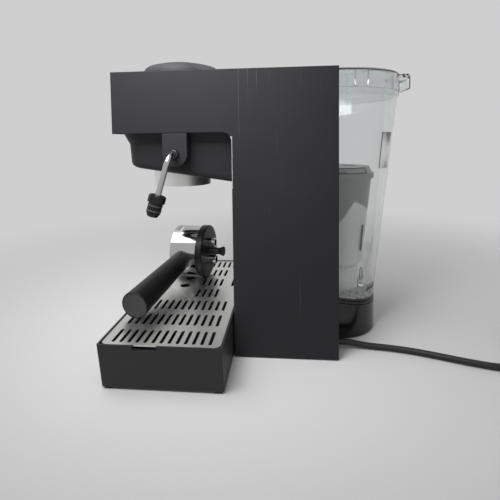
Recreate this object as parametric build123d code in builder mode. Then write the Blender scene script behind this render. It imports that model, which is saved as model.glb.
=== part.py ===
"""Countertop espresso machine, built as separate pieces.

A tall column carries an overhanging brew head. A clear tapered water tank stands in a niche behind the
column, a drip tray reaches past the right side below the steam wand, and the portafilter lies on the grid.

Millimetres. +Z is up, -Y is the front and +X is the right side. The origin is on the floor, on the middle
plane of the casing and half-way through the column.
"""

import os
from math import asin, atan2, cos, hypot, pi, radians, sin, tan

from build123d import *

# Casing
casing_width = 184.0
casing_height = 300.0
head_height = 64.0
column_depth = 108.0
panel_thickness = 2.0
panel_lift = 1.0
panel_edge_round = 0.7
sheet = 1.5
cover_bend = 3.0
head_corner_round = 10.0
cover_gap = 0.3
base_thickness = 3.0
base_corner = 4.0
base_screw_x = 84.0
base_screw_y = 44.0
base_screw_head = 3.6
base_screw_head_height = 1.6
base_screw_sink = 2.0
base_screw_shank = 1.6
base_screw_length = 10.0
vent_x = 78.0
vent_middle = 130.0
vent_width = 16.0
vent_height = 3.0
vent_pitch = 7.0
vent_rows = 7

# Brew head
group_reach = 130.0
group_radius = 31.0
group_depth = 50.0
group_flange = 42.0
group_flange_thickness = 8.0
floor_opening = 33.0
collar_radius = 35.3
collar_wall = 1.0
collar_depth = 62.0
collar_flange = 41.0
collar_flange_thickness = 2.0
bayonet_pin = 2.2
bayonet_height = 9.0
bayonet_reach = 1.3
gasket_inner = 25.5
gasket_thickness = 2.5
screen_thickness = 2.0
screen_gap = 0.3
screw_shank = 2.0
screw_head = 4.2
screw_head_height = 2.0
screw_length = 14.0

# Tub below the head
tub_side_inset = 11.0
tub_front_inset = 2.0
tub_rear_gap = 2.0
tub_wall = 2.5
tub_lip_depth = 11.0
tub_lip_step = 4.5
tub_draft = 2.5
tub_rear_depth = 53.0
tub_slope = 8.5
tub_corner = 20.0
tub_edge_round = 7.0
tub_hole_gap = 0.4

# Boiler and its fittings
boiler_radius = 40.0
boiler_height = 30.0
boiler_rim = 44.0
boiler_rim_height = 5.0
boiler_gap = 4.5
cap_height = 7.0
port_lift = 16.5
port_length = 4.0
element_rod = 3.0
element_gap = 4.0
element_height = 6.0
thermostat_radius = 8.0
thermostat_height = 5.0
thermostat_offset = 25.0
valve_size = 30.0
valve_height = 9.0
shaft_radius = 3.0
shaft_fit = 0.05
shaft_floor = 2.0

# Dial
dial_reach = 128.0
dial_radius = 47.0
dial_height = 24.0
dial_gap = 0.6
dial_crown = 8.0
dial_round = 9.0
dial_dome = 120.0
dial_hub_depth = 11.0
scoop_offset = 22.5
scoop_side = 15.0
scoop_floor = 12.5
scoop_rise = 30.0
scoop_fall = 5.5
scoop_round = 4.0

# Steam wand
wand_offset = 113.4
wand_below = 21.7
wand_radius = 3.0
wand_bore = 1.7
wand_reach = 19.0
wand_drop = 50.1
wand_lean = 17.0
wand_bend = 11.0
boss_width = 26.5
boss_inset = 0.4
boss_gap = 0.2
boss_edge_round = 1.0
bush_radius = 5.0
bush_inset = 20.0
bush_floor = 2.5
bush_fit = 0.05
wand_nut_radius = 4.4
wand_nut_length = 4.0
nozzle_length = 21.8
nozzle_cover = 8.0
nozzle_flange = 8.8
nozzle_flange_height = 7.0
nozzle_radius = 7.2
nozzle_tip = 5.4
nozzle_fit = 0.05
steam_pipe_radius = 2.5
steam_pipe_bend = 7.0
steam_pipe_run = 9.0

# Water tank, base, lid and filter
tank_offset = 61.0
tank_low_radius = 45.3
tank_low_height = 40.0
tank_top_radius = 71.3
tank_height = 281.2
tank_wall = 2.2
tank_floor = 2.5
tank_foot_radius = 42.5
tank_foot_height = 30.0
tank_rim_width = 1.7
tank_rim_height = 4.5
tank_seat_gap = 0.4
tank_foot_gap = 0.5
base_radius = 46.0
base_slope = 10.0
base_rear_height = 40.4
base_cup_floor = 22.0
base_cup_thickness = 5.0
base_edge_round = 2.5
seat_radius = 10.0
seat_height = 1.0
seat_fit = 0.5
seal_height = 1.7
valve_radius = 6.0
valve_top = 7.0
niche_gap = 2.5
niche_wall = 2.5
lid_radius = 73.0
lid_wall = 2.0
lid_top = 2.2
lid_drop = 20.0
lid_ring_gap = 1.0
lid_ring_depth = 6.0
lid_lip = 9.5
lid_lip_width = 48.0
lid_lip_drop = 22.0
lid_round = 2.5
filter_low_radius = 32.0
filter_low_height = 81.0
filter_top_radius = 42.8
filter_top_height = 182.0
filter_rim = 45.6
filter_rim_height = 6.0
filter_cap_height = 7.5
filter_cap_taper = 3.5
filter_cap_recess = 16.0
filter_stub = 27.0
filter_socket = 11.0
filter_seat_gap = 0.4
outlet_radius = 4.0
outlet_bore = 2.0
outlet_height = 15.0
outlet_length = 4.0

# Pump and board inside the column
pump_offset = 24.0
pump_radius = 14.0
pump_bottom = 8.0
pump_length = 138.0
pump_neck = 9.0
pump_neck_length = 16.0
coil_size = 42.0
coil_bottom = 56.0
coil_height = 40.0
coil_gap = 0.1
mount_radius = 17.0
mount_height = 5.0
clamp_thickness = 2.0
clamp_width = 40.0
hose_radius = 4.0
hose_bend = 18.0
board_width = 56.0
board_height = 84.0
board_thickness = 1.6
board_stand = 6.0
board_post = 3.0
board_shift = 55.0
board_lift = 130.0

# Drip tray and grid
tray_overhang = 69.6
tray_depth = 114.4
tray_gap = 1.2
tray_top = 46.4
tray_lift = 2.5
tray_draft = 8.0
tray_wall = 4.6
tray_floor = 2.4
tray_corner = 1.6
tray_rim = 1.8
tray_stop_x = 60.0
tray_stop_width = 14.0
tray_stop_tall = 12.0
tray_stop_height = 22.0
tray_foot_length = 9.0
tray_foot_width = 7.0
tray_foot_inset = 2.0
notch_width = 22.6
notch_depth = 5.4
notch_shift = 13.2
notch_round = 2.0
grid_thickness = 1.2
grid_gap = 0.4
grid_seat = 0.3
grid_sink = 0.7
grid_corner = 6.0
slot_length = 24.5
slot_width = 3.2
slot_pitch = 7.5
slot_count = 13
row_pitch = 35.7
row_count = 7
pad_rows = (3, 4, 5)
pad_slots = (7, 8, 9, 10)
pad_extra_slot = (4, 12)
hole_radius = 6.2
hole_shift = 14.5
hole_spread = 27.0

# Portafilter
disc_radius = 34.0
disc_thickness = 8.5
disc_round = 1.5
cup_radius = 33.0
cup_wall = 1.4
cup_length = 34.4
cup_floor = 2.0
cup_turn = 7.5
cup_place = (-26.0, -103.0)
cup_rest_gap = 0.3
bayonet_slot = 5.2
bayonet_slot_depth = 11.0
bayonet_angle = 68.0
bayonet_turn = 10.0
bayonet_run = 16.0
spout_radius = 6.0
spout_bore = 4.4
spout_length = 9.5
spout_spread = 12.0
peg_radius = 4.4
peg_flare = 6.2
peg_length = 21.0
peg_travel = 2.0
peg_depth = 4.0
peg_fit = 0.05
handle_radius = 14.6
handle_root_radius = 11.2
handle_reach = 143.4
handle_height = 24.4
handle_lean = 3.3
handle_cap_thickness = 1.6
handle_cap_rim = 1.2
basket_radius = 28.0
basket_wall = 0.6
basket_drop = 12.5
basket_gap = 0.2

# Mains cord
cord_radius = 3.3
gland_length = 24.0
gland_flange = 5.6
gland_flange_length = 2.5
gland_taper = 4.2
gland_x = 64.5
gland_z = 7.0
pocket_width = 24.0
pocket_depth = 29.5
pocket_height = 20.0
coil_radius = 36.5
coil_band = 19.8
coil_thickness = 13.4
coil_round = 3.0
coil_lead = 56.0
coil_tail = 38.0
coil_exit_height = 10.1
plug_radius = 19.0
plug_height = 27.0
plug_round = 4.0
plug_relief = 22.0
plug_relief_radius = 6.0
plug_pin_radius = 2.4
plug_pin_length = 19.0
plug_pin_spacing = 19.0
cord_route = (
    (64.5, 51.0, 7.0),
    (64.5, 66.0, 7.0),
    (65.4, 86.0, 3.8),
    (67.6, 108.0, 3.4),
    (72.6, 132.0, 3.4),
    (80.6, 156.0, 3.4),
    (89.6, 180.0, 3.4),
    (98.0, 208.0, 3.4),
    (98.0, 236.0, 3.4),
)

# Places worked out from the sizes above
stand = (Align.CENTER, Align.CENTER, Align.MIN)
half_width = casing_width / 2
panel_inner = half_width - panel_thickness
cover_half = panel_inner - cover_gap
head_bottom = casing_height - head_height
group_y = -group_reach
head_reach = group_reach + boiler_rim + boiler_gap + sheet
head_front = -head_reach
column_front = -column_depth / 2
column_rear = column_depth / 2
column_inside = column_front + sheet
cover_under = casing_height - sheet
cover_tall = cover_under - base_thickness
floor_top = head_bottom + sheet
tub_rear = column_front - tub_rear_gap
group_bottom = head_bottom - group_depth
boiler_bottom = floor_top + group_flange_thickness
boiler_top = boiler_bottom + boiler_height
cap_top = boiler_top + cap_height
element_spacing = valve_size + 2 * (element_gap + element_rod)
port_height = boiler_bottom + port_lift
shaft_bottom = cap_top + shaft_floor + cover_gap
dial_y = -dial_reach
dial_bottom = casing_height + dial_gap
dial_top = dial_bottom + dial_height
scoop_y = dial_y + scoop_offset
scoop_low = dial_bottom + scoop_floor
wand_y = -wand_offset
wand_height = head_bottom - wand_below
boss_face = half_width - boss_inset
bush_back = panel_inner - bush_inset
steam_pipe_x = bush_back - steam_pipe_run
tank_slope = (tank_top_radius - tank_low_radius) / (tank_height - tank_low_height)
tank_floor_top = tank_foot_height + tank_floor
tank_shoulder = base_rear_height + 2 * base_radius * tan(radians(base_slope)) + tank_wall
cup_floor_top = base_cup_floor + base_cup_thickness
cup_bore = tank_foot_radius + tank_foot_gap
valve_tall = tank_floor_top + valve_top - cup_floor_top - cover_gap
lid_bottom = tank_height + cover_gap
lid_height = lid_bottom + lid_drop
lid_ring = tank_top_radius - tank_wall - lid_ring_gap
lid_bay_radius = lid_radius + niche_gap
filter_rim_top = filter_top_height + filter_rim_height
filter_cap_top = filter_rim_top + filter_cap_height
outlet_end = tank_offset - base_radius - niche_gap - niche_wall - outlet_length
outlet_run = tank_offset - base_radius + niche_wall - outlet_end
pocket_face = column_rear - pocket_depth + niche_wall
pump_top = pump_bottom + pump_length
pump_shoulder = pump_top - pump_neck_length
clamp_bottom = pump_shoulder + mount_height
hose_start = pump_radius + cover_gap - pump_offset
hose_end = outlet_end + outlet_length - cover_gap
tray_right = half_width + tray_overhang
tray_left = -half_width
tray_middle = (tray_right + tray_left) / 2
tray_rear = column_front - tray_gap
tray_center = tray_rear - tray_depth / 2
tray_foot_span = tray_right - tray_left - 2 * (tray_draft + tray_foot_inset) - tray_foot_length
notch_middle = tray_center - notch_shift
grid_top = tray_top - grid_sink
grid_bottom = grid_top - grid_thickness
ledge_top = grid_bottom - grid_seat
middle_row = (row_count - 1) / 2
middle_slot = (slot_count - 1) / 2
cup_mouth = disc_thickness + cup_length
basket_seat = cup_mouth - basket_drop
basket_bottom = disc_thickness + cup_floor + cover_gap

# Work planes for turned pieces: local X is the radius and local Y runs along the axis
group_plane = Plane(origin=(0, group_y, 0), x_dir=(1, 0, 0), z_dir=(0, -1, 0))
dial_plane = Plane(origin=(0, dial_y, 0), x_dir=(1, 0, 0), z_dir=(0, -1, 0))
tank_plane = Plane(origin=(0, tank_offset, 0), x_dir=(1, 0, 0), z_dir=(0, -1, 0))
pump_plane = Plane(origin=(0, -pump_offset, 0), x_dir=(1, 0, 0), z_dir=(0, -1, 0))
gland_plane = Plane(origin=(gland_x, pocket_face, gland_z), x_dir=(1, 0, 0), z_dir=(0, 0, 1))

# The tank base ends in a rim that slopes down to the rear
rim_lean = radians(base_slope)
base_rim_plane = Plane(
    origin=(0, tank_offset + base_radius, base_rear_height),
    x_dir=(1, 0, 0),
    z_dir=(0, sin(rim_lean), cos(rim_lean)),
)

# The wand runs out of the boss, bends and hangs with a lean to the front
wand_way = Vector(0, -sin(radians(wand_lean)), -cos(radians(wand_lean)))
wand_start = Vector(bush_back + bush_floor + cover_gap, wand_y, wand_height)
wand_elbow = Vector(half_width + wand_reach, wand_y, wand_height)
wand_end = wand_elbow + wand_way * wand_drop
nozzle_plane = Plane(
    origin=wand_end - wand_way * nozzle_cover,
    x_dir=(1, 0, 0),
    z_dir=Vector(1, 0, 0).cross(wand_way),
)

# The portafilter lies on the rim of its disc and the end of its handle
cup_turned = radians(cup_turn)
handle_droop = asin(disc_radius / hypot(handle_reach, handle_radius)) - atan2(handle_radius, handle_reach)
mouth_way = Vector(-sin(cup_turned), -cos(cup_turned), 0)
handle_level = Vector(cos(cup_turned), -sin(cup_turned), 0)
handle_way = handle_level * cos(handle_droop) - Vector(0, 0, sin(handle_droop))
cup_origin = Vector(cup_place[0], cup_place[1], grid_top + cup_rest_gap + disc_radius)
cup_plane = Plane(origin=cup_origin, x_dir=handle_way, z_dir=mouth_way)
cup_axis_plane = Plane(origin=cup_origin, x_dir=handle_way, z_dir=handle_way.cross(mouth_way))
handle_axis = handle_way * cos(radians(handle_lean)) + mouth_way * sin(radians(handle_lean))
handle_side = handle_axis.cross(Vector(0, 0, 1)).normalized()
handle_plane = Plane(
    origin=cup_origin + mouth_way * handle_height,
    x_dir=handle_side,
    z_dir=handle_side.cross(handle_axis),
)

pieces = {}


def keep(name: str, piece: BuildPart) -> None:
    """Label a finished piece and list it for writing."""
    piece.part.label = name
    pieces[name] = piece.part


def turned(plane: Plane, *corners: tuple) -> Part:
    """Turn a closed outline of (radius, height[, round]) corners about the plane's local Y axis."""
    points = [(corner[0], corner[1]) for corner in corners]
    rounds = [corner[2] if len(corner) > 2 else 0 for corner in corners]
    with BuildPart() as body:
        with BuildSketch(plane):
            with BuildLine():
                FilletPolyline(*points, radius=rounds, close=True)
            make_face()
        revolve(axis=Axis(plane.origin, plane.y_dir))
    return body.part


def profile(plane: Plane, depth: float, *corners: tuple, both: bool = False) -> Part:
    """Extrude a closed outline of (x, y[, round]) corners away from its plane."""
    points = [(corner[0], corner[1]) for corner in corners]
    rounds = [corner[2] if len(corner) > 2 else 0 for corner in corners]
    with BuildPart() as body:
        with BuildSketch(plane):
            with BuildLine():
                FilletPolyline(*points, radius=rounds, close=True)
            make_face()
        extrude(amount=depth, both=both)
    return body.part


def pipe(radius: float, *points: tuple, bend: float | list[float], bore: float = 0.0) -> Part:
    """Sweep a round section along straight runs joined by tangent arcs."""
    start = Vector(points[0])
    with BuildPart() as body:
        with BuildLine():
            FilletPolyline(*points, radius=bend)
        with BuildSketch(Plane(origin=start, z_dir=Vector(points[1]) - start)):
            Circle(radius)
            if bore:
                Circle(bore, mode=Mode.SUBTRACT)
        sweep()
    return body.part


def tank_radius(height: float) -> float:
    """Outer radius of the tank's tapered wall."""
    return tank_low_radius + tank_slope * (height - tank_low_height)


# Side panels: flat coated sheets cut to the outline of the column and the head
with BuildPart() as right_side_panel:
    add(
        profile(
            Plane.YZ.offset(panel_inner),
            panel_thickness,
            (column_rear, panel_lift),
            (column_rear, casing_height),
            (head_front, casing_height),
            (head_front, head_bottom),
            (column_front, head_bottom, head_corner_round),
            (column_front, panel_lift),
        )
    )
    fillet(right_side_panel.faces().sort_by(Axis.X)[-1].edges(), panel_edge_round)
keep("right_side_panel", right_side_panel)

with BuildPart() as left_side_panel:
    mirror(right_side_panel.part, about=Plane.YZ)
keep("left_side_panel", left_side_panel)

# Front and top cover: one folded sheet, open for the dial shaft and round the tank
with BuildPart() as front_top_cover:
    add(
        profile(
            Plane.YZ,
            cover_half,
            (head_front, head_bottom),
            (head_front, casing_height, cover_bend),
            (column_rear, casing_height),
            (column_rear, cover_under),
            (head_front + sheet, cover_under, cover_bend - sheet),
            (head_front + sheet, head_bottom),
            both=True,
        )
    )
    with Locations((0, tank_offset, casing_height)):
        Cylinder(lid_bay_radius, 4 * sheet, mode=Mode.SUBTRACT)
    with Locations((0, dial_y, casing_height)):
        Cylinder(shaft_radius + 2 * sheet, 4 * sheet, mode=Mode.SUBTRACT)
keep("front_top_cover", front_top_cover)

# Column front panel, folded forward as the floor of the head
with BuildPart() as column_front_panel:
    add(
        profile(
            Plane.YZ,
            cover_half,
            (head_front + sheet + cover_gap, head_bottom),
            (column_front, head_bottom, head_corner_round),
            (column_front, base_thickness),
            (column_inside, base_thickness),
            (column_inside, floor_top, head_corner_round + sheet),
            (head_front + sheet + cover_gap, floor_top),
            both=True,
        )
    )
    with Locations((0, group_y, head_bottom)):
        Cylinder(floor_opening, 4 * sheet, mode=Mode.SUBTRACT)
    with Locations((steam_pipe_x, wand_y, head_bottom)):
        Cylinder(steam_pipe_radius + sheet, 4 * sheet, mode=Mode.SUBTRACT)
keep("column_front_panel", column_front_panel)


def niche(grow: float) -> Part:
    """Room for the tank, its base and its lid, with the radius grown by a wall."""
    low = max(base_radius, tank_low_radius) + niche_gap + grow
    bay = tank_height - tank_rim_height - niche_gap - grow
    return turned(
        tank_plane,
        (0, base_thickness),
        (low, base_thickness),
        (low, tank_low_height),
        (tank_radius(bay) + niche_gap + grow, bay),
        (lid_bay_radius + grow, bay),
        (lid_bay_radius + grow, lid_height),
        (0, lid_height),
    )


# Rear cover: a moulded back with the tank niche, a pocket for the cord and rows of air slots
with BuildPart() as rear_cover:
    add(niche(niche_wall))
    with Locations((0, column_rear - niche_wall / 2, base_thickness + cover_tall / 2)):
        Box(2 * cover_half, niche_wall, cover_tall)
    with Locations((gland_x, column_rear - pocket_depth / 2, base_thickness + pocket_height / 2)):
        Box(pocket_width + 2 * niche_wall, pocket_depth, pocket_height)
    add(niche(0), mode=Mode.SUBTRACT)
    with Locations((gland_x, column_rear - pocket_depth / 2 + niche_wall, base_thickness)):
        Box(pocket_width, pocket_depth, 2 * (pocket_height - niche_wall), mode=Mode.SUBTRACT)
    with Locations((gland_x, pocket_face, gland_z)):
        Cylinder(cord_radius, 4 * niche_wall, rotation=(90, 0, 0), mode=Mode.SUBTRACT)
    with Locations((0, outlet_end, outlet_height)):
        Cylinder(outlet_radius + cover_gap, 2 * base_radius, rotation=(90, 0, 0), mode=Mode.SUBTRACT)
    for side in (-1, 1):
        vent_plane = Plane(origin=(side * vent_x, column_rear, vent_middle), x_dir=(1, 0, 0), z_dir=(0, 1, 0))
        with Locations(vent_plane):
            with GridLocations(1, vent_pitch, 1, vent_rows):
                Box(vent_width, vent_height, 4 * niche_wall, mode=Mode.SUBTRACT)
    with Locations((0, column_rear - casing_height / 2, base_thickness + cover_tall / 2)):
        Box(2 * cover_half, casing_height, cover_tall, mode=Mode.INTERSECT)
keep("rear_cover", rear_cover)

# Base plate: flat on the floor, cut round the tank base and below the cord pocket
with BuildPart() as base_plate:
    with BuildSketch() as plate:
        Rectangle(2 * cover_half, column_depth)
        fillet(plate.vertices().group_by(Axis.Y)[0], base_corner)
    extrude(amount=base_thickness)
    with Locations((0, tank_offset, 0)):
        Cylinder(base_radius + cover_gap, 4 * base_thickness, mode=Mode.SUBTRACT)
    with Locations((gland_x, column_rear - pocket_depth / 2 + niche_wall, 0)):
        Box(pocket_width, pocket_depth, 4 * base_thickness, mode=Mode.SUBTRACT)
    with GridLocations(2 * base_screw_x, 2 * base_screw_y, 2, 2):
        Cylinder(base_screw_head + cover_gap, 2 * base_screw_sink, mode=Mode.SUBTRACT)
        Cylinder(base_screw_shank + cover_gap, 4 * base_thickness, mode=Mode.SUBTRACT)
keep("base_plate", base_plate)

with BuildPart() as base_screws:
    with GridLocations(2 * base_screw_x, 2 * base_screw_y, 2, 2):
        with Locations((0, 0, base_screw_sink - base_screw_head_height)):
            Cylinder(base_screw_head, base_screw_head_height, align=stand)
        with Locations((0, 0, base_screw_sink)):
            Cylinder(base_screw_shank, base_screw_length, align=stand)
keep("base_screws", base_screws)


def tub_plan(inset: float, step: float, height: float) -> Sketch:
    """Rounded plan of the tub at one height, drawn in all round by the inset and off the rear by the step."""
    front = head_front + tub_front_inset + inset + step
    rear = tub_rear - inset
    with BuildSketch(Plane.XY.offset(height)) as plan:
        with Locations((0, (front + rear) / 2)):
            Rectangle(2 * (half_width - tub_side_inset - inset - step), rear - front)
        fillet(plan.vertices().group_by(Axis.Y)[0], tub_corner)
    return plan.sketch


def tub_form(inset: float) -> Part:
    """Solid form of the tub: a flared lip, drafted sides and a floor that rises to the front."""
    lip = tub_plan(inset, 0, head_bottom)
    waist = tub_plan(inset, tub_lip_step, head_bottom - tub_lip_depth)
    low = tub_plan(inset, tub_lip_step + tub_draft, head_bottom - tub_rear_depth - tub_wall)
    slope = radians(tub_slope)
    floor = Plane(
        origin=(0, tub_rear, head_bottom - tub_rear_depth + inset / cos(slope)),
        x_dir=(1, 0, 0),
        z_dir=(0, sin(slope), cos(slope)),
    )
    with BuildPart() as form:
        loft(sections=[lip, waist])
        loft(sections=[waist, low])
        split(bisect_by=floor, keep=Keep.TOP)
        fillet(form.faces().sort_by(Axis.Z)[0].edges().sort_by(Axis.Y)[:-1], tub_edge_round - inset)
    return form.part


# Room for the bend between the column front and the head floor
with BuildPart() as bend_room:
    with Locations((0, tub_rear, head_bottom)):
        Box(casing_width, 2 * head_corner_round, 2 * head_corner_round)
    with Locations((0, tub_rear - head_corner_round, head_bottom - head_corner_round)):
        Cylinder(head_corner_round, casing_width, rotation=(0, 90, 0), mode=Mode.SUBTRACT)

# Tub: a thin moulded shell below the head, open to the collar and the steam wand
with BuildPart() as brew_head_tub:
    add(tub_form(0))
    add(tub_form(tub_wall), mode=Mode.SUBTRACT)
    add(bend_room.part, mode=Mode.SUBTRACT)
    with Locations((0, group_y, group_bottom)):
        Cylinder(collar_radius + tub_hole_gap, group_depth, mode=Mode.SUBTRACT)
    with Locations((half_width, wand_y, wand_height)):
        Cylinder(bush_radius + tub_hole_gap, 4 * tub_side_inset, rotation=(0, 90, 0), mode=Mode.SUBTRACT)
keep("brew_head_tub", brew_head_tub)

# Steam boss: a flat tongue on the tub's flank, level with the side panel
with BuildPart() as steam_boss:
    with BuildSketch(Plane.YZ.offset(bush_back)):
        with Locations((wand_y, (wand_height + head_bottom - boss_gap) / 2)):
            Rectangle(boss_width, head_bottom - boss_gap - wand_height)
        with Locations((wand_y, wand_height)):
            Circle(boss_width / 2)
    extrude(amount=boss_face - bush_back)
    fillet(steam_boss.faces().sort_by(Axis.X)[-1].edges(), boss_edge_round)
    add(tub_form(-boss_gap), mode=Mode.SUBTRACT)
    with Locations((half_width, wand_y, wand_height)):
        Cylinder(bush_radius + boss_gap / 2, 4 * tub_side_inset, rotation=(0, 90, 0), mode=Mode.SUBTRACT)
keep("steam_boss", steam_boss)

# Collar: a bright sleeve round the group, hung from the head floor
with BuildPart() as group_collar:
    add(
        turned(
            group_plane,
            (collar_radius - collar_wall, head_bottom - collar_depth),
            (collar_radius, head_bottom - collar_depth),
            (collar_radius, head_bottom - collar_flange_thickness),
            (collar_flange, head_bottom - collar_flange_thickness),
            (collar_flange, head_bottom),
            (collar_radius - collar_wall, head_bottom),
        )
    )
keep("group_collar", group_collar)

# Group head: the cast spigot that the portafilter locks onto
with BuildPart() as group_head:
    add(
        turned(
            group_plane,
            (0, group_bottom),
            (group_radius, group_bottom),
            (group_radius, floor_top),
            (group_flange, floor_top),
            (group_flange, boiler_bottom),
            (0, boiler_bottom),
        )
    )
    with Locations((0, group_y, group_bottom + bayonet_height)):
        Cylinder(bayonet_pin, 2 * (group_radius + bayonet_reach), rotation=(0, 90, 0))
    with Locations((0, group_y, group_bottom)):
        Cylinder(screw_shank + screen_gap, 2 * screw_length, mode=Mode.SUBTRACT)
keep("group_head", group_head)

with BuildPart() as group_gasket:
    add(
        turned(
            group_plane,
            (gasket_inner, group_bottom - gasket_thickness),
            (group_radius - screen_gap, group_bottom - gasket_thickness, gasket_thickness / 4),
            (group_radius - screen_gap, group_bottom),
            (gasket_inner, group_bottom),
        )
    )
keep("group_gasket", group_gasket)

with BuildPart() as shower_screen:
    with Locations((0, group_y, group_bottom - screen_thickness)):
        Cylinder(gasket_inner - screen_gap, screen_thickness, align=stand)
        Cylinder(screw_shank + screen_gap, 4 * screen_thickness, mode=Mode.SUBTRACT)
keep("shower_screen", shower_screen)

with BuildPart() as screen_screw:
    with Locations((0, group_y, group_bottom - screen_thickness - screw_head_height)):
        Cylinder(screw_head, screw_head_height, align=stand)
        Cylinder(screw_shank, screw_length, align=stand)
keep("screen_screw", screen_screw)

# Boiler with its water and steam ports
with BuildPart() as boiler:
    add(
        turned(
            group_plane,
            (0, boiler_bottom),
            (boiler_radius, boiler_bottom),
            (boiler_radius, boiler_top - boiler_rim_height),
            (boiler_rim, boiler_top - boiler_rim_height),
            (boiler_rim, boiler_top),
            (0, boiler_top),
        )
    )
    with Locations((0, group_y, port_height)):
        Cylinder(hose_radius, boiler_rim + port_length, rotation=(-90, 0, 0), align=stand)
    with Locations((0, wand_y, port_height)):
        Cylinder(steam_pipe_radius, boiler_rim + port_length, rotation=(0, 90, 0), align=stand)
keep("boiler", boiler)

with BuildPart() as boiler_cap:
    add(
        turned(
            group_plane,
            (0, boiler_top),
            (boiler_rim, boiler_top),
            (boiler_rim, boiler_top + boiler_rim_height),
            (boiler_radius, cap_top),
            (0, cap_top),
        )
    )
keep("boiler_cap", boiler_cap)

with BuildPart() as heating_element:
    with Locations((0, dial_y, cap_top)):
        with GridLocations(1, element_spacing, 1, 2):
            Cylinder(element_rod, element_height, align=stand)
keep("heating_element", heating_element)

with BuildPart() as thermostats:
    with Locations((0, group_y, cap_top)):
        with GridLocations(2 * thermostat_offset, 1, 2, 1):
            Cylinder(thermostat_radius, thermostat_height, align=stand)
keep("thermostats", thermostats)

# Selector valve, turned by the dial through its shaft
with BuildPart() as selector_valve:
    with Locations((0, dial_y, cap_top)):
        Box(valve_size, valve_size, valve_height, align=stand)
    fillet(selector_valve.edges().filter_by(Axis.Z), shaft_radius)
    with Locations((0, dial_y, cap_top + shaft_floor)):
        Cylinder(shaft_radius + shaft_fit, valve_height, align=stand, mode=Mode.SUBTRACT)
keep("selector_valve", selector_valve)

with BuildPart() as dial_shaft:
    with Locations((0, dial_y, shaft_bottom)):
        Cylinder(shaft_radius, dial_bottom + dial_hub_depth - shaft_bottom, align=stand)
keep("dial_shaft", dial_shaft)

# Dial: a broad domed knob with a scoop for the finger in its right rear quarter
with BuildPart() as dial:
    add(
        turned(
            dial_plane,
            (0, dial_bottom),
            (dial_radius, dial_bottom, panel_edge_round),
            (dial_radius, dial_top - dial_crown, dial_round),
            (dial_radius / 2, dial_top - dial_crown / 5, dial_dome),
            (0, dial_top),
        )
    )
    add(
        profile(
            Plane.YZ.offset(scoop_side),
            2 * dial_radius,
            (scoop_y - scoop_rise, scoop_low + scoop_rise),
            (scoop_y, scoop_low, scoop_round),
            (dial_y + dial_radius, scoop_low - scoop_fall),
            (dial_y + 2 * dial_radius, scoop_low - scoop_fall),
            (dial_y + 2 * dial_radius, scoop_low + scoop_rise),
        ),
        mode=Mode.SUBTRACT,
    )
    with Locations((0, dial_y, dial_bottom)):
        Cylinder(shaft_radius + shaft_fit, 2 * dial_hub_depth, mode=Mode.SUBTRACT)
keep("dial", dial)

# Steam wand: a bent tube that swings in a bush inside the boss
with BuildPart() as wand_bush:
    with Locations((bush_back, wand_y, wand_height)):
        Cylinder(bush_radius, boss_face - bush_back - cover_gap, rotation=(0, 90, 0), align=stand)
    with Locations((bush_back + bush_floor, wand_y, wand_height)):
        Cylinder(wand_radius + bush_fit, half_width, rotation=(0, 90, 0), align=stand, mode=Mode.SUBTRACT)
keep("wand_bush", wand_bush)

with BuildPart() as steam_pipe:
    add(
        pipe(
            steam_pipe_radius,
            (boiler_rim + port_length, wand_y, port_height),
            (steam_pipe_x, wand_y, port_height),
            (steam_pipe_x, wand_y, wand_height),
            (bush_back, wand_y, wand_height),
            bend=steam_pipe_bend,
        )
    )
keep("steam_pipe", steam_pipe)

with BuildPart() as steam_wand:
    add(pipe(wand_radius, wand_start, wand_elbow, wand_end, bend=wand_bend, bore=wand_bore))
keep("steam_wand", steam_wand)

with BuildPart() as wand_nut:
    with Locations((boss_face + cover_gap, wand_y, wand_height)):
        Cylinder(wand_nut_radius, wand_nut_length, rotation=(0, 90, 0), align=stand)
        Cylinder(wand_radius + bush_fit, 4 * wand_nut_length, rotation=(0, 90, 0), mode=Mode.SUBTRACT)
    fillet(wand_nut.faces().sort_by(Axis.X)[-1].edges().sort_by(SortBy.RADIUS)[-1], panel_edge_round)
keep("wand_nut", wand_nut)

# Nozzle: a stepped black sleeve pushed onto the end of the wand
with BuildPart() as steam_nozzle:
    add(
        turned(
            nozzle_plane,
            (wand_radius + nozzle_fit, 0),
            (nozzle_flange, 0, panel_edge_round),
            (nozzle_flange, nozzle_flange_height, panel_edge_round),
            (nozzle_radius, nozzle_flange_height),
            (nozzle_radius, nozzle_length - nozzle_cover / 2),
            (nozzle_tip, nozzle_length),
            (wand_bore, nozzle_length),
            (wand_bore, nozzle_cover + cover_gap),
            (wand_radius + nozzle_fit, nozzle_cover + cover_gap),
        )
    )
keep("steam_nozzle", steam_nozzle)

# Tank base: a round cup with a sloping rim, a valve seat and an outlet to the pump
with BuildPart() as tank_base:
    add(
        turned(
            tank_plane,
            (0, 0),
            (base_radius, 0, base_edge_round),
            (base_radius, tank_height / 2),
            (0, tank_height / 2),
        )
    )
    split(bisect_by=base_rim_plane, keep=Keep.BOTTOM)
    with Locations((0, tank_offset, cup_floor_top)):
        Cylinder(cup_bore, tank_height, align=stand, mode=Mode.SUBTRACT)
    with Locations((0, tank_offset, 0)):
        Cylinder(base_radius - 2 * niche_wall, 2 * base_cup_floor, mode=Mode.SUBTRACT)
    with Locations((0, tank_offset, cup_floor_top)):
        Cylinder(seat_radius, seat_height, align=stand)
        Cylinder(valve_radius + seat_fit, 2 * seat_height, mode=Mode.SUBTRACT)
    with Locations((0, outlet_end, outlet_height)):
        Cylinder(outlet_radius, outlet_run, rotation=(-90, 0, 0), align=stand)
        Cylinder(outlet_bore, 2 * outlet_length, rotation=(-90, 0, 0), mode=Mode.SUBTRACT)
keep("tank_base", tank_base)

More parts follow.
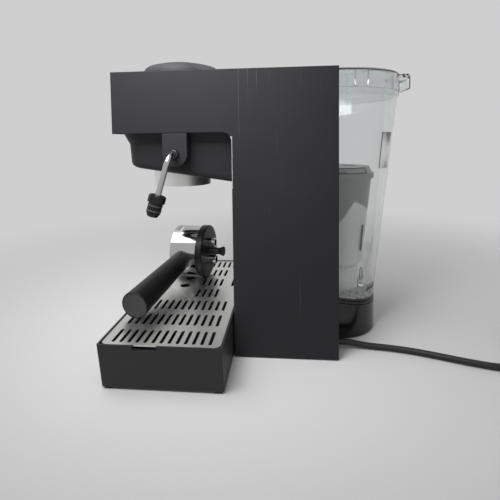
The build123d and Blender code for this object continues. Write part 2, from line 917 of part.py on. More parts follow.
with BuildPart() as valve_seal:
    with Locations((0, tank_offset, cup_floor_top + seat_height)):
        Cylinder(seat_radius - panel_edge_round, seal_height, align=stand)
        Cylinder(valve_radius + seat_fit, 4 * seal_height, mode=Mode.SUBTRACT)
keep("valve_seal", valve_seal)

# Tank: a clear tapered beaker whose shoulder follows the sloping rim of the base
with BuildPart() as water_tank:
    add(
        turned(
            tank_plane,
            (0, tank_foot_height),
            (tank_radius(tank_foot_height), tank_foot_height),
            (tank_top_radius, tank_height),
            (0, tank_height),
        )
    )
    split(bisect_by=base_rim_plane.offset(tank_seat_gap), keep=Keep.TOP)
    with Locations((0, tank_offset, tank_foot_height)):
        Cylinder(tank_foot_radius, tank_shoulder - tank_foot_height, align=stand)
    add(
        turned(
            tank_plane,
            (tank_radius(tank_height - tank_rim_height) - tank_wall, tank_height - tank_rim_height),
            (tank_top_radius + tank_rim_width, tank_height - tank_rim_height),
            (tank_top_radius + tank_rim_width, tank_height),
            (tank_top_radius - tank_wall, tank_height),
        )
    )
    add(
        turned(
            tank_plane,
            (0, tank_floor_top),
            (tank_foot_radius - tank_wall, tank_floor_top, tank_wall),
            (tank_foot_radius - tank_wall, tank_low_height),
            (tank_radius(tank_shoulder) - tank_wall, tank_shoulder),
            (tank_top_radius - tank_wall, tank_height),
            (tank_top_radius - tank_wall, lid_height),
            (0, lid_height),
        ),
        mode=Mode.SUBTRACT,
    )
    with Locations((0, tank_offset, tank_foot_height)):
        Cylinder(valve_radius, 4 * tank_floor, mode=Mode.SUBTRACT)
keep("water_tank", water_tank)

with BuildPart() as tank_valve:
    with Locations((0, tank_offset, cup_floor_top + cover_gap)):
        Cylinder(valve_radius - seat_fit / 2, valve_tall, align=stand)
    with Locations((0, tank_offset, tank_floor_top)):
        Cylinder(valve_radius + tank_wall, tank_wall, align=stand)
keep("tank_valve", tank_valve)


def lip_form(inset: float) -> Part:
    """Finger lip at the back of the lid, with a slanted underside."""
    back = tank_offset + lid_radius + lid_lip - inset
    top = lid_height - inset
    low = top - lid_lip_drop
    with BuildPart() as form:
        add(
            profile(
                Plane.YZ,
                lid_lip_width / 2 - inset,
                (tank_offset, top),
                (back, top - inset, lid_round),
                (back, low + lid_lip_drop / 4),
                (back - lid_lip, low - inset),
                (tank_offset, low - inset),
                both=True,
            )
        )
        fillet(form.edges().filter_by(Axis.Z).group_by(Axis.Y)[-1], lid_lip / 2)
    return form.part


# Lid: a clear cap that drops over the tank's rim and sits on an inner ring
with BuildPart() as tank_lid:
    add(lip_form(0))
    add(lip_form(lid_wall), mode=Mode.SUBTRACT)
    with Locations((0, tank_offset, lid_bottom)):
        Cylinder(lid_radius - lid_wall / 2, 2 * lid_drop, mode=Mode.SUBTRACT)
    with Locations((0, tank_offset, lid_bottom - lid_drop)):
        Cylinder(lid_radius + cover_gap, lid_drop, align=stand, mode=Mode.SUBTRACT)
    add(
        turned(
            tank_plane,
            (0, lid_height - lid_top),
            (lid_ring - lid_wall, lid_height - lid_top),
            (lid_ring - lid_wall, tank_height - lid_ring_depth),
            (lid_ring, tank_height - lid_ring_depth),
            (lid_ring, lid_height - lid_top),
            (lid_radius - lid_wall, lid_height - lid_top),
            (lid_radius - lid_wall, lid_bottom),
            (lid_radius, lid_bottom),
            (lid_radius, lid_height, lid_round / 2),
            (0, lid_height),
        )
    )
keep("tank_lid", tank_lid)

# Water filter: a tapered cartridge that stands over the tank valve
with BuildPart() as filter_body:
    add(
        turned(
            tank_plane,
            (filter_socket, tank_floor_top + filter_seat_gap),
            (filter_stub, tank_floor_top + filter_seat_gap),
            (filter_stub, filter_low_height - filter_rim_height),
            (filter_low_radius, filter_low_height, filter_rim_height / 2),
            (filter_top_radius, filter_top_height),
            (filter_rim, filter_top_height),
            (filter_rim, filter_rim_top),
            (0, filter_rim_top),
            (0, tank_floor_top + valve_top + tank_wall),
            (filter_socket, tank_floor_top + valve_top + tank_wall),
        )
    )
keep("filter_body", filter_body)

with BuildPart() as filter_cap:
    add(
        turned(
            tank_plane,
            (0, filter_rim_top),
            (filter_rim - lid_wall, filter_rim_top),
            (filter_rim - lid_wall - filter_cap_taper, filter_cap_top),
            (0, filter_cap_top),
        )
    )
    with Locations((0, tank_offset + filter_cap_recess, filter_cap_top)):
        Box(filter_cap_recess, filter_cap_recess, filter_cap_height, mode=Mode.SUBTRACT)
keep("filter_cap", filter_cap)

# Pump: a vibration pump held between two rubber rings
with BuildPart() as pump_body:
    add(
        turned(
            pump_plane,
            (0, pump_bottom),
            (pump_radius, pump_bottom),
            (pump_radius, pump_shoulder),
            (pump_neck, pump_shoulder),
            (pump_neck, pump_top),
            (0, pump_top),
        )
    )
    with Locations((0, -pump_offset, outlet_height)):
        Cylinder(outlet_radius, pump_radius + outlet_length, rotation=(-90, 0, 0), align=stand)
keep("pump_body", pump_body)

with BuildPart() as pump_coil:
    with Locations((0, -pump_offset, coil_bottom)):
        Box(coil_size, coil_size, coil_height, align=stand)
        Cylinder(pump_radius + coil_gap, 4 * coil_height, mode=Mode.SUBTRACT)
    fillet(pump_coil.edges().filter_by(Axis.Z).filter_by(GeomType.LINE).group_by(Axis.Y)[0], pump_neck / 2)
keep("pump_coil", pump_coil)

with BuildPart() as pump_mounts:
    with Locations((0, -pump_offset, base_thickness)):
        Cylinder(mount_radius, pump_bottom - base_thickness, align=stand)
    with Locations((0, -pump_offset, pump_shoulder)):
        Cylinder(mount_radius, mount_height, align=stand)
        Cylinder(pump_neck + coil_gap, 4 * mount_height, mode=Mode.SUBTRACT)
keep("pump_mounts", pump_mounts)

with BuildPart() as pump_clamp:
    add(
        profile(
            Plane.YZ,
            clamp_width / 2,
            (column_inside, clamp_bottom - clamp_width / 2),
            (column_inside, clamp_bottom + clamp_thickness, clamp_thickness),
            (-pump_offset + mount_radius, clamp_bottom + clamp_thickness),
            (-pump_offset + mount_radius, clamp_bottom),
            (column_inside + clamp_thickness, clamp_bottom),
            (column_inside + clamp_thickness, clamp_bottom - clamp_width / 2),
            both=True,
        )
    )
    with Locations((0, -pump_offset, clamp_bottom)):
        Cylinder(pump_neck + coil_gap, 4 * clamp_thickness, mode=Mode.SUBTRACT)
keep("pump_clamp", pump_clamp)

with BuildPart() as suction_hose:
    with Locations((0, hose_start, outlet_height)):
        Cylinder(outlet_radius + tank_wall, hose_end - hose_start, rotation=(-90, 0, 0), align=stand)
        Cylinder(outlet_radius + coil_gap, 4 * base_radius, rotation=(-90, 0, 0), mode=Mode.SUBTRACT)
keep("suction_hose", suction_hose)

with BuildPart() as pressure_hose:
    add(
        pipe(
            hose_radius,
            (0, -pump_offset, pump_top),
            (0, -pump_offset, port_height),
            (0, group_y + boiler_rim + port_length, port_height),
            bend=hose_bend,
        )
    )
keep("pressure_hose", pressure_hose)

# Control board on posts behind the column front
with BuildPart() as control_board:
    with Locations(Plane(origin=(-board_shift, column_inside, board_lift), x_dir=(1, 0, 0), z_dir=(0, 1, 0))):
        with Locations((0, 0, board_stand)):
            Box(board_width, board_height, board_thickness, align=stand)
        with GridLocations(board_width - 4 * board_post, board_height - 4 * board_post, 2, 2):
            Cylinder(board_post, board_stand, align=stand)
        with Locations((0, board_height / 5, board_stand + board_thickness)):
            Box(board_width / 2, board_height / 4, board_width / 4, align=stand)
keep("control_board", control_board)


def tray_form(inset: float, bottom: float, top: float) -> Part:
    """Block with drafted ends, drawn in from the tray's outside by the inset."""
    def plan(height: float) -> Sketch:
        draw_in = tray_draft * (tray_top - height) / (tray_top - tray_lift) + inset
        with BuildSketch(Plane.XY.offset(height)) as face:
            with Locations((tray_middle, tray_center)):
                RectangleRounded(tray_right - tray_left - 2 * draw_in, tray_depth - 2 * inset, tray_corner)
        return face.sketch

    with BuildPart() as form:
        loft(sections=[plan(bottom), plan(top)])
    return form.part


# Drip tray: a deep drafted trough with a ledge for the grid and a finger notch in its right end,
# with two stops that meet the column
with BuildPart() as drip_tray:
    add(tray_form(0, tray_lift, tray_top))
    add(tray_form(tray_wall, tray_lift + tray_floor, tray_top), mode=Mode.SUBTRACT)
    add(tray_form(tray_rim, ledge_top, tray_top + tray_rim), mode=Mode.SUBTRACT)
    add(
        profile(
            Plane.YZ.offset(tray_right - 2 * tray_wall),
            3 * tray_wall,
            (notch_middle - notch_width / 2, tray_top + tray_rim),
            (notch_middle - notch_width / 2, tray_top - notch_depth, notch_round),
            (notch_middle + notch_width / 2, tray_top - notch_depth, notch_round),
            (notch_middle + notch_width / 2, tray_top + tray_rim),
        ),
        mode=Mode.SUBTRACT,
    )
    with Locations((0, tray_rear, tray_stop_height)):
        with GridLocations(2 * tray_stop_x, 1, 2, 1):
            Box(tray_stop_width, 2 * (tray_gap - cover_gap), tray_stop_tall)
keep("drip_tray", drip_tray)

with BuildPart() as tray_feet:
    with Locations((tray_middle, tray_center, 0)):
        with GridLocations(tray_foot_span, tray_depth - 2 * tray_foot_inset - tray_foot_width, 2, 2):
            Box(tray_foot_length, tray_foot_width, tray_lift, align=stand)
keep("tray_feet", tray_feet)


def is_slot(row: int, slot: int) -> bool:
    """Whether the grid has a slot there, leaving the plain cup pad."""
    return row not in pad_rows or slot in pad_slots or (row, slot) == pad_extra_slot


# Drip grid: a thin plate with rows of slots, a plain cup pad and two finger holes
with BuildPart() as drip_grid:
    with BuildSketch(Plane.XY.offset(grid_bottom)):
        with Locations((tray_middle, tray_center)):
            RectangleRounded(
                tray_right - tray_left - 2 * (tray_rim + grid_gap) - tray_draft / 4,
                tray_depth - 2 * (tray_rim + grid_gap),
                grid_corner,
            )
        with Locations(
            *[
                (
                    tray_middle + row_pitch * (middle_row - row),
                    tray_center + slot_pitch * (slot - middle_slot),
                )
                for row in range(row_count)
                for slot in range(slot_count)
                if is_slot(row, slot)
            ]
        ):
            SlotOverall(slot_length, slot_width, mode=Mode.SUBTRACT)
        with Locations((tray_middle - row_pitch, tray_center - hole_shift)):
            with GridLocations(hole_spread, 1, 2, 1):
                Circle(hole_radius, mode=Mode.SUBTRACT)
    extrude(amount=grid_thickness)
keep("drip_grid", drip_grid)

# Portafilter, lying on the grid with its mouth to the front and its handle to the right
with BuildPart() as portafilter_disc:
    add(
        turned(
            cup_axis_plane,
            (0, 0),
            (disc_radius, 0, disc_round),
            (disc_radius, disc_thickness),
            (0, disc_thickness),
        )
    )
    with Locations(cup_plane):
        with GridLocations(1, 2 * spout_spread, 1, 2):
            Cylinder(spout_radius + peg_fit, disc_thickness, mode=Mode.SUBTRACT)
        Cylinder(peg_radius + peg_fit, 2 * (peg_depth + peg_travel + cover_gap), mode=Mode.SUBTRACT)
keep("portafilter_disc", portafilter_disc)

with BuildPart() as portafilter_cup:
    add(
        turned(
            cup_axis_plane,
            (0, disc_thickness),
            (cup_radius, disc_thickness),
            (cup_radius, cup_mouth),
            (cup_radius - cup_wall, cup_mouth),
            (cup_radius - cup_wall, basket_seat),
            (basket_radius + basket_wall + basket_gap, basket_seat),
            (basket_radius + basket_wall + basket_gap, disc_thickness + cup_floor),
            (0, disc_thickness + cup_floor),
        )
    )
    with Locations(cup_plane.offset(cup_mouth)):
        with PolarLocations(cup_radius, 2, start_angle=bayonet_angle):
            Box(4 * cup_wall, bayonet_slot, 2 * bayonet_slot_depth, mode=Mode.SUBTRACT)
    with Locations(cup_plane.offset(cup_mouth - bayonet_slot_depth + bayonet_slot / 2)):
        with PolarLocations(cup_radius, 2, start_angle=bayonet_angle + bayonet_turn):
            Box(4 * cup_wall, bayonet_run, bayonet_slot, mode=Mode.SUBTRACT)
keep("portafilter_cup", portafilter_cup)

with BuildPart() as filter_basket:
    add(
        turned(
            cup_axis_plane,
            (0, basket_bottom),
            (basket_radius + basket_wall, basket_bottom),
            (basket_radius + basket_wall, basket_seat),
            (cup_radius - cup_wall - basket_gap, basket_seat),
            (cup_radius - cup_wall - basket_gap, basket_seat + basket_wall),
            (basket_radius, basket_seat + basket_wall),
            (basket_radius, basket_bottom + basket_wall),
            (0, basket_bottom + basket_wall),
        )
    )
keep("filter_basket", filter_basket)

with BuildPart() as portafilter_spouts:
    with BuildSketch(cup_plane.offset(-spout_length)):
        with GridLocations(1, 2 * spout_spread, 1, 2):
            Circle(spout_radius)
            Circle(spout_bore, mode=Mode.SUBTRACT)
    extrude(amount=spout_length + disc_thickness / 2)
keep("portafilter_spouts", portafilter_spouts)

with BuildPart() as valve_peg:
    add(
        turned(
            cup_axis_plane,
            (0, -peg_length),
            (peg_flare, -peg_length, panel_edge_round),
            (peg_flare, panel_thickness - peg_length),
            (peg_radius, peg_flare - peg_length),
            (peg_radius, peg_depth),
            (0, peg_depth),
        )
    )
keep("valve_peg", valve_peg)

# Handle: a plain black bar that thickens to its end, saddled on the cup
with BuildPart() as portafilter_handle:
    add(
        turned(
            handle_plane,
            (0, cup_radius / 2),
            (handle_root_radius, cup_radius / 2),
            (handle_radius, handle_reach, panel_edge_round),
            (0, handle_reach),
        )
    )
    with Locations(cup_plane):
        Cylinder(cup_radius + peg_fit, 4 * cup_length, mode=Mode.SUBTRACT)
    add(
        turned(
            handle_plane,
            (0, handle_reach - handle_cap_thickness),
            (handle_radius - handle_cap_rim, handle_reach - handle_cap_thickness),
            (handle_radius - handle_cap_rim, handle_reach + handle_radius),
            (0, handle_reach + handle_radius),
        ),
        mode=Mode.SUBTRACT,
    )
keep("portafilter_handle", portafilter_handle)

with BuildPart() as handle_cap:
    add(
        turned(
            handle_plane,
            (0, handle_reach - handle_cap_thickness),
            (handle_radius - handle_cap_rim - peg_fit, handle_reach - handle_cap_thickness),
            (handle_radius - handle_cap_rim - peg_fit, handle_reach - cover_gap),
            (0, handle_reach - cover_gap),
        )
    )
keep("handle_cap", handle_cap)

# Strain relief in the cord pocket
with BuildPart() as cord_gland:
    add(
        turned(
            gland_plane,
            (0, -2 * niche_wall),
            (cord_radius - peg_fit, -2 * niche_wall),
            (cord_radius - peg_fit, 0),
            (gland_flange, 0),
            (gland_flange, gland_flange_length),
            (gland_taper + panel_edge_round, gland_flange_length),
            (gland_taper, gland_length),
            (0, gland_length),
        )
    )
keep("cord_gland", cord_gland)


def route_radii(points: tuple) -> list[float]:
    """Largest even arcs for the corners of a cord's route."""
    radii = []
    for before, corner, after in zip(points, points[1:], points[2:]):
        arriving = Vector(corner) - Vector(before)
        leaving = Vector(after) - Vector(corner)
        turn = radians(arriving.get_angle(leaving))
        radii.append(0.45 * min(arriving.length, leaving.length) / tan(turn / 2))
    return radii


# Mains cord: a plain tube over the floor, then a neat coil, then the plug
cord_radii = route_radii(cord_route)
with BuildPart() as mains_cord:
    add(pipe(cord_radius, *cord_route, bend=cord_radii))
keep("mains_cord", mains_cord)

# Coil: the cord comes in on the outer turn of the lower layer and leaves on the outer turn of the upper layer
coil_entry = Vector(cord_route[-1])
coil_x = coil_entry.X - coil_radius - 2 * cord_radius
coil_y = coil_entry.Y + coil_lead
exit_y = coil_y + coil_radius + 2 * cord_radius
with BuildPart() as mains_cord_coil:
    with BuildSketch():
        with Locations((coil_x, coil_y)):
            Circle(coil_radius + coil_band / 2)
            Circle(coil_radius - coil_band / 2, mode=Mode.SUBTRACT)
    extrude(amount=coil_thickness)
    fillet(mains_cord_coil.edges(), coil_round)
    with Locations((coil_entry.X, coil_entry.Y, coil_entry.Z)):
        Cylinder(cord_radius, coil_lead, rotation=(-90, 0, 0), align=stand)
    with Locations((coil_x - coil_tail, exit_y, coil_exit_height)):
        Cylinder(cord_radius, coil_tail, rotation=(0, 90, 0), align=stand)
keep("mains_cord_coil", mains_cord_coil)

plug_x = coil_x - coil_tail - plug_relief - plug_radius
with BuildPart() as mains_plug:
    with Locations((plug_x, exit_y, 0)):
        Cylinder(plug_radius, plug_height, align=stand)
    fillet(mains_plug.edges().group_by(Axis.Z)[-1], plug_round)
    with Locations((plug_x, exit_y, coil_exit_height)):
        Cone(2 * plug_relief_radius - cord_radius, cord_radius + panel_edge_round, plug_radius + plug_relief,
             rotation=(0, 90, 0), align=stand)
keep("mains_plug", mains_plug)

with BuildPart() as plug_pins:
    with Locations((plug_x, exit_y, plug_height)):
        with GridLocations(1, plug_pin_spacing, 1, 2):
            Cylinder(plug_pin_radius, plug_pin_length, align=stand)
    fillet(plug_pins.edges().group_by(Axis.Z)[-1], plug_pin_radius / 2)
keep("plug_pins", plug_pins)

os.makedirs("parts", exist_ok=True)
for node, solid in pieces.items():
    export_step(solid, f"parts/{node}.step")

cord_length = mains_cord.part.volume / (pi * cord_radius**2)
print("cord radii", [round(radius) for radius in cord_radii])
print("cord tube length from volume", round(cord_length, 1))
print("pieces", len(pieces))
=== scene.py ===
"""Looks for a countertop espresso machine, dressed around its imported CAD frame.

Sizes are in millimetres in the frame of the part: +Z up, -Y the front, +X the right side. They turn to metres
where a mesh or a curve is made.
"""

import logging
import math
from dataclasses import dataclass
from enum import Enum

import bmesh
import bpy
from mathutils import Matrix, Vector


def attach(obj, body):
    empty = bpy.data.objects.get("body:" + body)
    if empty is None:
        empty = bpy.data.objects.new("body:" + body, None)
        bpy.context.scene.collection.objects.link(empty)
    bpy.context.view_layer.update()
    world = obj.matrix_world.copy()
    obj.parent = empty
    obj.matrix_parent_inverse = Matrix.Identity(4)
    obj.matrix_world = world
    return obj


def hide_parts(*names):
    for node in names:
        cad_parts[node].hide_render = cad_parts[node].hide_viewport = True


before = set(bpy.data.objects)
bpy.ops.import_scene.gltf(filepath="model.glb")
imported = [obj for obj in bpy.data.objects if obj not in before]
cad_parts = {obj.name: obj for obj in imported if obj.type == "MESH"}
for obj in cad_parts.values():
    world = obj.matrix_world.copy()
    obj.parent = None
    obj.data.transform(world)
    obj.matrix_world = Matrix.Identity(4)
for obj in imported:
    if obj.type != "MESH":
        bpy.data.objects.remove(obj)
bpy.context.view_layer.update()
MM = 0.001
LOG = logging.getLogger("espresso_machine")

Point = tuple[float, float, float]
Outline = tuple[tuple[float, float], ...]
Tree = bpy.types.NodeTree
Node = bpy.types.Node
Socket = bpy.types.NodeSocket


def linear(colour: str) -> tuple[float, float, float, float]:
    """Turn an sRGB hex colour to linear light.

    Args:
        colour: Six hex digits behind a hash.

    Returns:
        Red, green, blue and a full alpha.
    """
    parts = [int(colour[i:i + 2], 16) / 255 for i in (1, 3, 5)]
    light = [c / 12.92 if c <= 0.04045 else ((c + 0.055) / 1.055) ** 2.4 for c in parts]
    return (light[0], light[1], light[2], 1.0)


def per_mm(size: float) -> float:
    """Texture scale on Object coordinates for a pattern of this size in millimetres."""
    return 1 / (size * MM)


def add_node(tree: Tree, kind: str, sockets: dict | None = None, **settings) -> Node:
    """Add a node with its settings and links.

    Args:
        tree: Node tree of the material or the world.
        kind: Blender's name of the node type.
        sockets: Input name or index to a value, or to the output socket that feeds it.
        **settings: Attributes of the node itself.

    Returns:
        The new node.
    """
    node = tree.nodes.new(kind)
    for name, value in settings.items():
        setattr(node, name, value)
    for key, value in (sockets or {}).items():
        if isinstance(value, Socket):
            tree.links.new(value, node.inputs[key])
        else:
            node.inputs[key].default_value = value
    return node


@dataclass(frozen=True)
class Finish:
    """A material: its name, its slot in the record, its colour and its shine; its kinds add the surface."""

    name: str
    slot: str
    colour: str
    roughness: float
    metallic: float = 0.0
    ior: float = 1.5
    specular: float = 0.5

    def material(self) -> bpy.types.Material:
        """Build the material once and hand out the same one after that."""
        made = bpy.data.materials.get(self.name)
        if made:
            return made
        made = bpy.data.materials.new(self.name)
        made.use_nodes = True
        made.diffuse_color = linear(self.colour)
        tree = made.node_tree
        shader = tree.nodes["Principled BSDF"]
        shader.inputs["Base Color"].default_value = linear(self.colour)
        shader.inputs["Roughness"].default_value = self.roughness
        shader.inputs["Metallic"].default_value = self.metallic
        shader.inputs["Specular IOR Level"].default_value = self.specular
        if not self.metallic:
            shader.inputs["IOR"].default_value = self.ior
        self.dress(tree, shader, add_node(tree, "ShaderNodeTexCoord").outputs["Object"])
        return made

    def dress(self, tree: Tree, shader: Node, place: Socket) -> None:
        """Add the surface detail; the plain finish has none."""

    def vary(self, tree: Tree, shader: Node, factor: Socket, tint: str, spread: float) -> Socket:
        """Let a pattern shift the colour towards a tint and the roughness by a spread.

        Args:
            tree: Node tree of the material.
            shader: The Principled shader.
            factor: Pattern from 0 to 1.
            tint: Colour at the pattern's high end.
            spread: Change of roughness from the low to the high end.

        Returns:
            The colour that reaches the shader.
        """
        mix = add_node(tree, "ShaderNodeMix", {"Factor": factor, 6: linear(self.colour), 7: linear(tint)},
                       data_type="RGBA")
        tree.links.new(mix.outputs[2], shader.inputs["Base Color"])
        rough = add_node(tree, "ShaderNodeMapRange", {"Value": factor, "To Min": self.roughness - spread / 2,
                                                      "To Max": self.roughness + spread / 2})
        tree.links.new(rough.outputs["Result"], shader.inputs["Roughness"])
        return mix.outputs[2]

    def bump(self, tree: Tree, shader: Node, height: Socket, depth: float,
             strength: float | Socket = 1.0) -> None:
        """Drive the shader's normal from a height pattern of a depth in millimetres."""
        node = add_node(tree, "ShaderNodeBump",
                        {"Height": height, "Distance": depth * MM, "Strength": strength})
        tree.links.new(node.outputs["Normal"], shader.inputs["Normal"])


@dataclass(frozen=True)
class Moulded(Finish):
    """Moulded plastic or rubber with a spark-eroded grain and a faint cloudiness."""

    tint: str = "#505052"
    grain: float = 0.9
    depth: float = 0.02
    cloud: float = 26.0
    spread: float = 0.1

    def dress(self, tree: Tree, shader: Node, place: Socket) -> None:
        """Grain as bump, clouds as colour and roughness."""
        grain = add_node(tree, "ShaderNodeTexNoise",
                         {"Vector": place, "Scale": per_mm(self.grain), "Detail": 2.0})
        self.bump(tree, shader, grain.outputs["Fac"], self.depth)
        cloud = add_node(tree, "ShaderNodeTexNoise",
                         {"Vector": place, "Scale": per_mm(self.cloud), "Detail": 5.0,
                                                      "Roughness": 0.62})
        self.vary(tree, shader, cloud.outputs["Fac"], self.tint, self.spread)


@dataclass(frozen=True)
class Coated(Finish):
    """Powder-coated sheet steel: peel, soft clouds, hairline scratches up and down, and a painted highlight
    along one front edge.
    """

    tint: str = "#505052"
    # Pale colour of the hairline scratches and of the painted edge highlight.
    scratch_and_highlight_colour: str = "#8c8c8e"
    peel: float = 1.1
    depth: float = 0.016
    cloud: float = 70.0
    scratch_width: float = 1.6
    scratch_length: float = 130.0
    scratch_from: float = 0.75
    scratch_full: float = 0.82
    scratch_share: float = 0.25
    # Where the painted highlight runs: the front edge of the side panels, by x, y and height in millimetres.
    edge_x: float = 91.0
    edge_y: float = -54.0
    edge_width: float = 0.9
    edge_reach: float = 1.08
    edge_low: float = 178.0
    edge_high: float = 232.0

    def dress(self, tree: Tree, shader: Node, place: Socket) -> None:
        """Peel as bump, clouds as colour and roughness, scratches and a painted edge highlight as a paler
        colour.
        """
        peel = add_node(tree, "ShaderNodeTexNoise",
                        {"Vector": place, "Scale": per_mm(self.peel), "Detail": 3.0})
        self.bump(tree, shader, peel.outputs["Fac"], self.depth)
        cloud = add_node(tree, "ShaderNodeTexNoise",
                         {"Vector": place, "Scale": per_mm(self.cloud), "Detail": 4.0})
        coat = self.vary(tree, shader, cloud.outputs["Fac"], self.tint, 0.1)
        drawn = add_node(tree, "ShaderNodeMapping", {
            "Vector": place, "Scale": (1.0, 1.0, self.scratch_width / self.scratch_length)})
        hairs = add_node(tree, "ShaderNodeTexNoise", {"Vector": drawn.outputs["Vector"],
                                                      "Scale": per_mm(self.scratch_width), "Detail": 1.0})
        marks = add_node(tree, "ShaderNodeMapRange",
                         {"Value": hairs.outputs["Fac"], "From Min": self.scratch_from,
                                                      "From Max": self.scratch_full,
                                                      "To Max": self.scratch_share})
        # Painted highlight: a pale strip along the column's front edge of the side panels, where the rounded
        # edge catches the light.
        at = add_node(tree, "ShaderNodeSeparateXYZ", {"Vector": place})
        off = add_node(tree, "ShaderNodeMath",
                       {0: at.outputs["Y"], 1: self.edge_y * MM, 2: self.edge_width * MM},
                       operation="COMPARE")
        mid = (self.edge_low + self.edge_high) / 2
        along = add_node(tree, "ShaderNodeMath",
                         {0: at.outputs["Z"], 1: mid * MM, 2: (self.edge_high - mid) * MM},
                         operation="COMPARE")
        side = add_node(tree, "ShaderNodeMath", {0: at.outputs["X"]}, operation="ABSOLUTE")
        outer = add_node(tree, "ShaderNodeMath", {0: side.outputs["Value"], 1: self.edge_x * MM,
                                                  2: self.edge_reach * MM}, operation="COMPARE")
        corner = add_node(tree, "ShaderNodeMath", {0: off.outputs["Value"], 1: outer.outputs["Value"]},
                          operation="MULTIPLY")
        edge = add_node(tree, "ShaderNodeMath", {0: corner.outputs["Value"], 1: along.outputs["Value"]},
                        operation="MULTIPLY")
        # The scratches and the painted edge highlight share one pale colour.
        scratches_and_edge_highlight = add_node(tree, "ShaderNodeMath", {0: marks.outputs["Result"], 1: edge.outputs["Value"]},
                        operation="MAXIMUM")
        scratched_and_highlit_colour = add_node(tree, "ShaderNodeMix",
                        {"Factor": scratches_and_edge_highlight.outputs["Value"], 6: coat, 7: linear(self.scratch_and_highlight_colour)},
                        data_type="RGBA")
        tree.links.new(scratched_and_highlit_colour.outputs[2], shader.inputs["Base Color"])


@dataclass(frozen=True)
class Polished(Finish):
    """Plated or glossy surface with hairline wiping marks in its shine."""

    tint: str = "#ffffff"
    hair: float = 0.5
    cloud: float = 18.0
    spread: float = 0.06

    def dress(self, tree: Tree, shader: Node, place: Socket) -> None:
        """Hairlines and soft smears as roughness, with a trace of tint."""
        wiped = add_node(tree, "ShaderNodeMapping", {"Vector": place, "Scale": (1.0, 0.06, 1.0),
                                                     "Rotation": (0.3, 0.2, 0.5)})
        hairs = add_node(tree, "ShaderNodeTexNoise", {"Vector": wiped.outputs["Vector"],
                                                      "Scale": per_mm(self.hair), "Detail": 2.0})
        smear = add_node(tree, "ShaderNodeTexNoise",
                         {"Vector": place, "Scale": per_mm(self.cloud), "Detail": 4.0})
        both = add_node(tree, "ShaderNodeMath", {0: hairs.outputs["Fac"], 1: smear.outputs["Fac"]},
                        operation="MULTIPLY")
        self.vary(tree, shader, both.outputs["Value"], self.tint, self.spread)


@dataclass(frozen=True)
class Brushed(Finish):
    """Metal with a grain brushed one way."""

    tint: str = "#f4f4f2"
    line: float = 0.4
    run: Point = (0.01, 1.0, 1.0)
    depth: float = 0.006
    spread: float = 0.16

    def dress(self, tree: Tree, shader: Node, place: Socket) -> None:
        """Stretched noise gives the brushed lines, as bump, colour and roughness."""
        drawn = add_node(tree, "ShaderNodeMapping", {"Vector": place, "Scale": self.run})
        lines = add_node(tree, "ShaderNodeTexNoise", {"Vector": drawn.outputs["Vector"],
                                                      "Scale": per_mm(self.line), "Detail": 3.0})
        self.bump(tree, shader, lines.outputs["Fac"], self.depth, 0.6)
        self.vary(tree, shader, lines.outputs["Fac"], self.tint, self.spread)


@dataclass(frozen=True)
class Perforated(Finish):
    """Thin steel sheet with a close field of round holes."""

    hole: str = "#101010"
    pitch: float = 2.2
    share: float = 0.3
    flat: Point = (1.0, 1.0, 0.0)
    depth: float = 0.4

    def dress(self, tree: Tree, shader: Node, place: Socket) -> None:
        """A square field of dots, dark and sunk."""
        across = add_node(tree, "ShaderNodeMapping", {"Vector": place, "Scale": self.flat})
        field = add_node(tree, "ShaderNodeTexVoronoi", {"Vector": across.outputs["Vector"], "Randomness": 0.0,
                                                        "Scale": per_mm(self.pitch)})
        sheet = add_node(tree, "ShaderNodeMapRange",
                         {"Value": field.outputs["Distance"], "From Min": self.share,
                                                      "From Max": self.share + 0.08, "To Min": 1.0,
                                                      "To Max": 0.0})
        self.vary(tree, shader, sheet.outputs["Result"], self.hole, 0.2)
        self.bump(tree, shader, field.outputs["Distance"], self.depth, 0.4)


@dataclass(frozen=True)
class Cast(Finish):
    """Cast or drawn metal with a grainy skin and stains."""

    tint: str = "#8a8a88"
    grain: float = 1.6
    depth: float = 0.05
    cloud: float = 14.0
    spread: float = 0.2

    def dress(self, tree: Tree, shader: Node, place: Socket) -> None:
        """Pitted skin as bump, stains as colour and roughness."""
        pits = add_node(tree, "ShaderNodeTexVoronoi", {"Vector": place, "Scale": per_mm(self.grain)})
        self.bump(tree, shader, pits.outputs["Distance"], self.depth, 0.5)
        stain = add_node(tree, "ShaderNodeTexNoise",
                         {"Vector": place, "Scale": per_mm(self.cloud), "Detail": 5.0})
        self.vary(tree, shader, stain.outputs["Fac"], self.tint, self.spread)


@dataclass(frozen=True)
class Wound(Finish):
    """Lacquered wire wound in even rows."""

    tint: str = "#8a4a30"
    wire: float = 1.2

    def dress(self, tree: Tree, shader: Node, place: Socket) -> None:
        """Bands across the height, round as wire; a wave texture of scale 1 has a period of pi / 10."""
        rows = add_node(tree, "ShaderNodeTexWave",
                        {"Vector": place, "Scale": per_mm(self.wire) * math.pi / 10,
                                                    "Distortion": 0.4}, bands_direction="Z")
        self.bump(tree, shader, rows.outputs["Fac"], self.wire / 3, 0.8)
        self.vary(tree, shader, rows.outputs["Fac"], self.tint, 0.15)


@dataclass(frozen=True)
class Etched(Finish):
    """Circuit board under green lacquer, with tracks and pads."""

    tint: str = "#3c7d48"
    track: float = 5.0

    def dress(self, tree: Tree, shader: Node, place: Socket) -> None:
        """A brick pattern on the board's face gives tracks a little paler and prouder than the ground."""
        face = add_node(tree, "ShaderNodeMapping", {"Vector": place, "Rotation": (math.pi / 2, 0.0, 0.0)})
        tracks = add_node(tree, "ShaderNodeTexBrick", {"Vector": face.outputs["Vector"],
                                                       "Scale": per_mm(self.track), "Mortar Size": 0.08})
        self.vary(tree, shader, tracks.outputs["Fac"], self.tint, 0.1)
        self.bump(tree, shader, tracks.outputs["Fac"], 0.1)


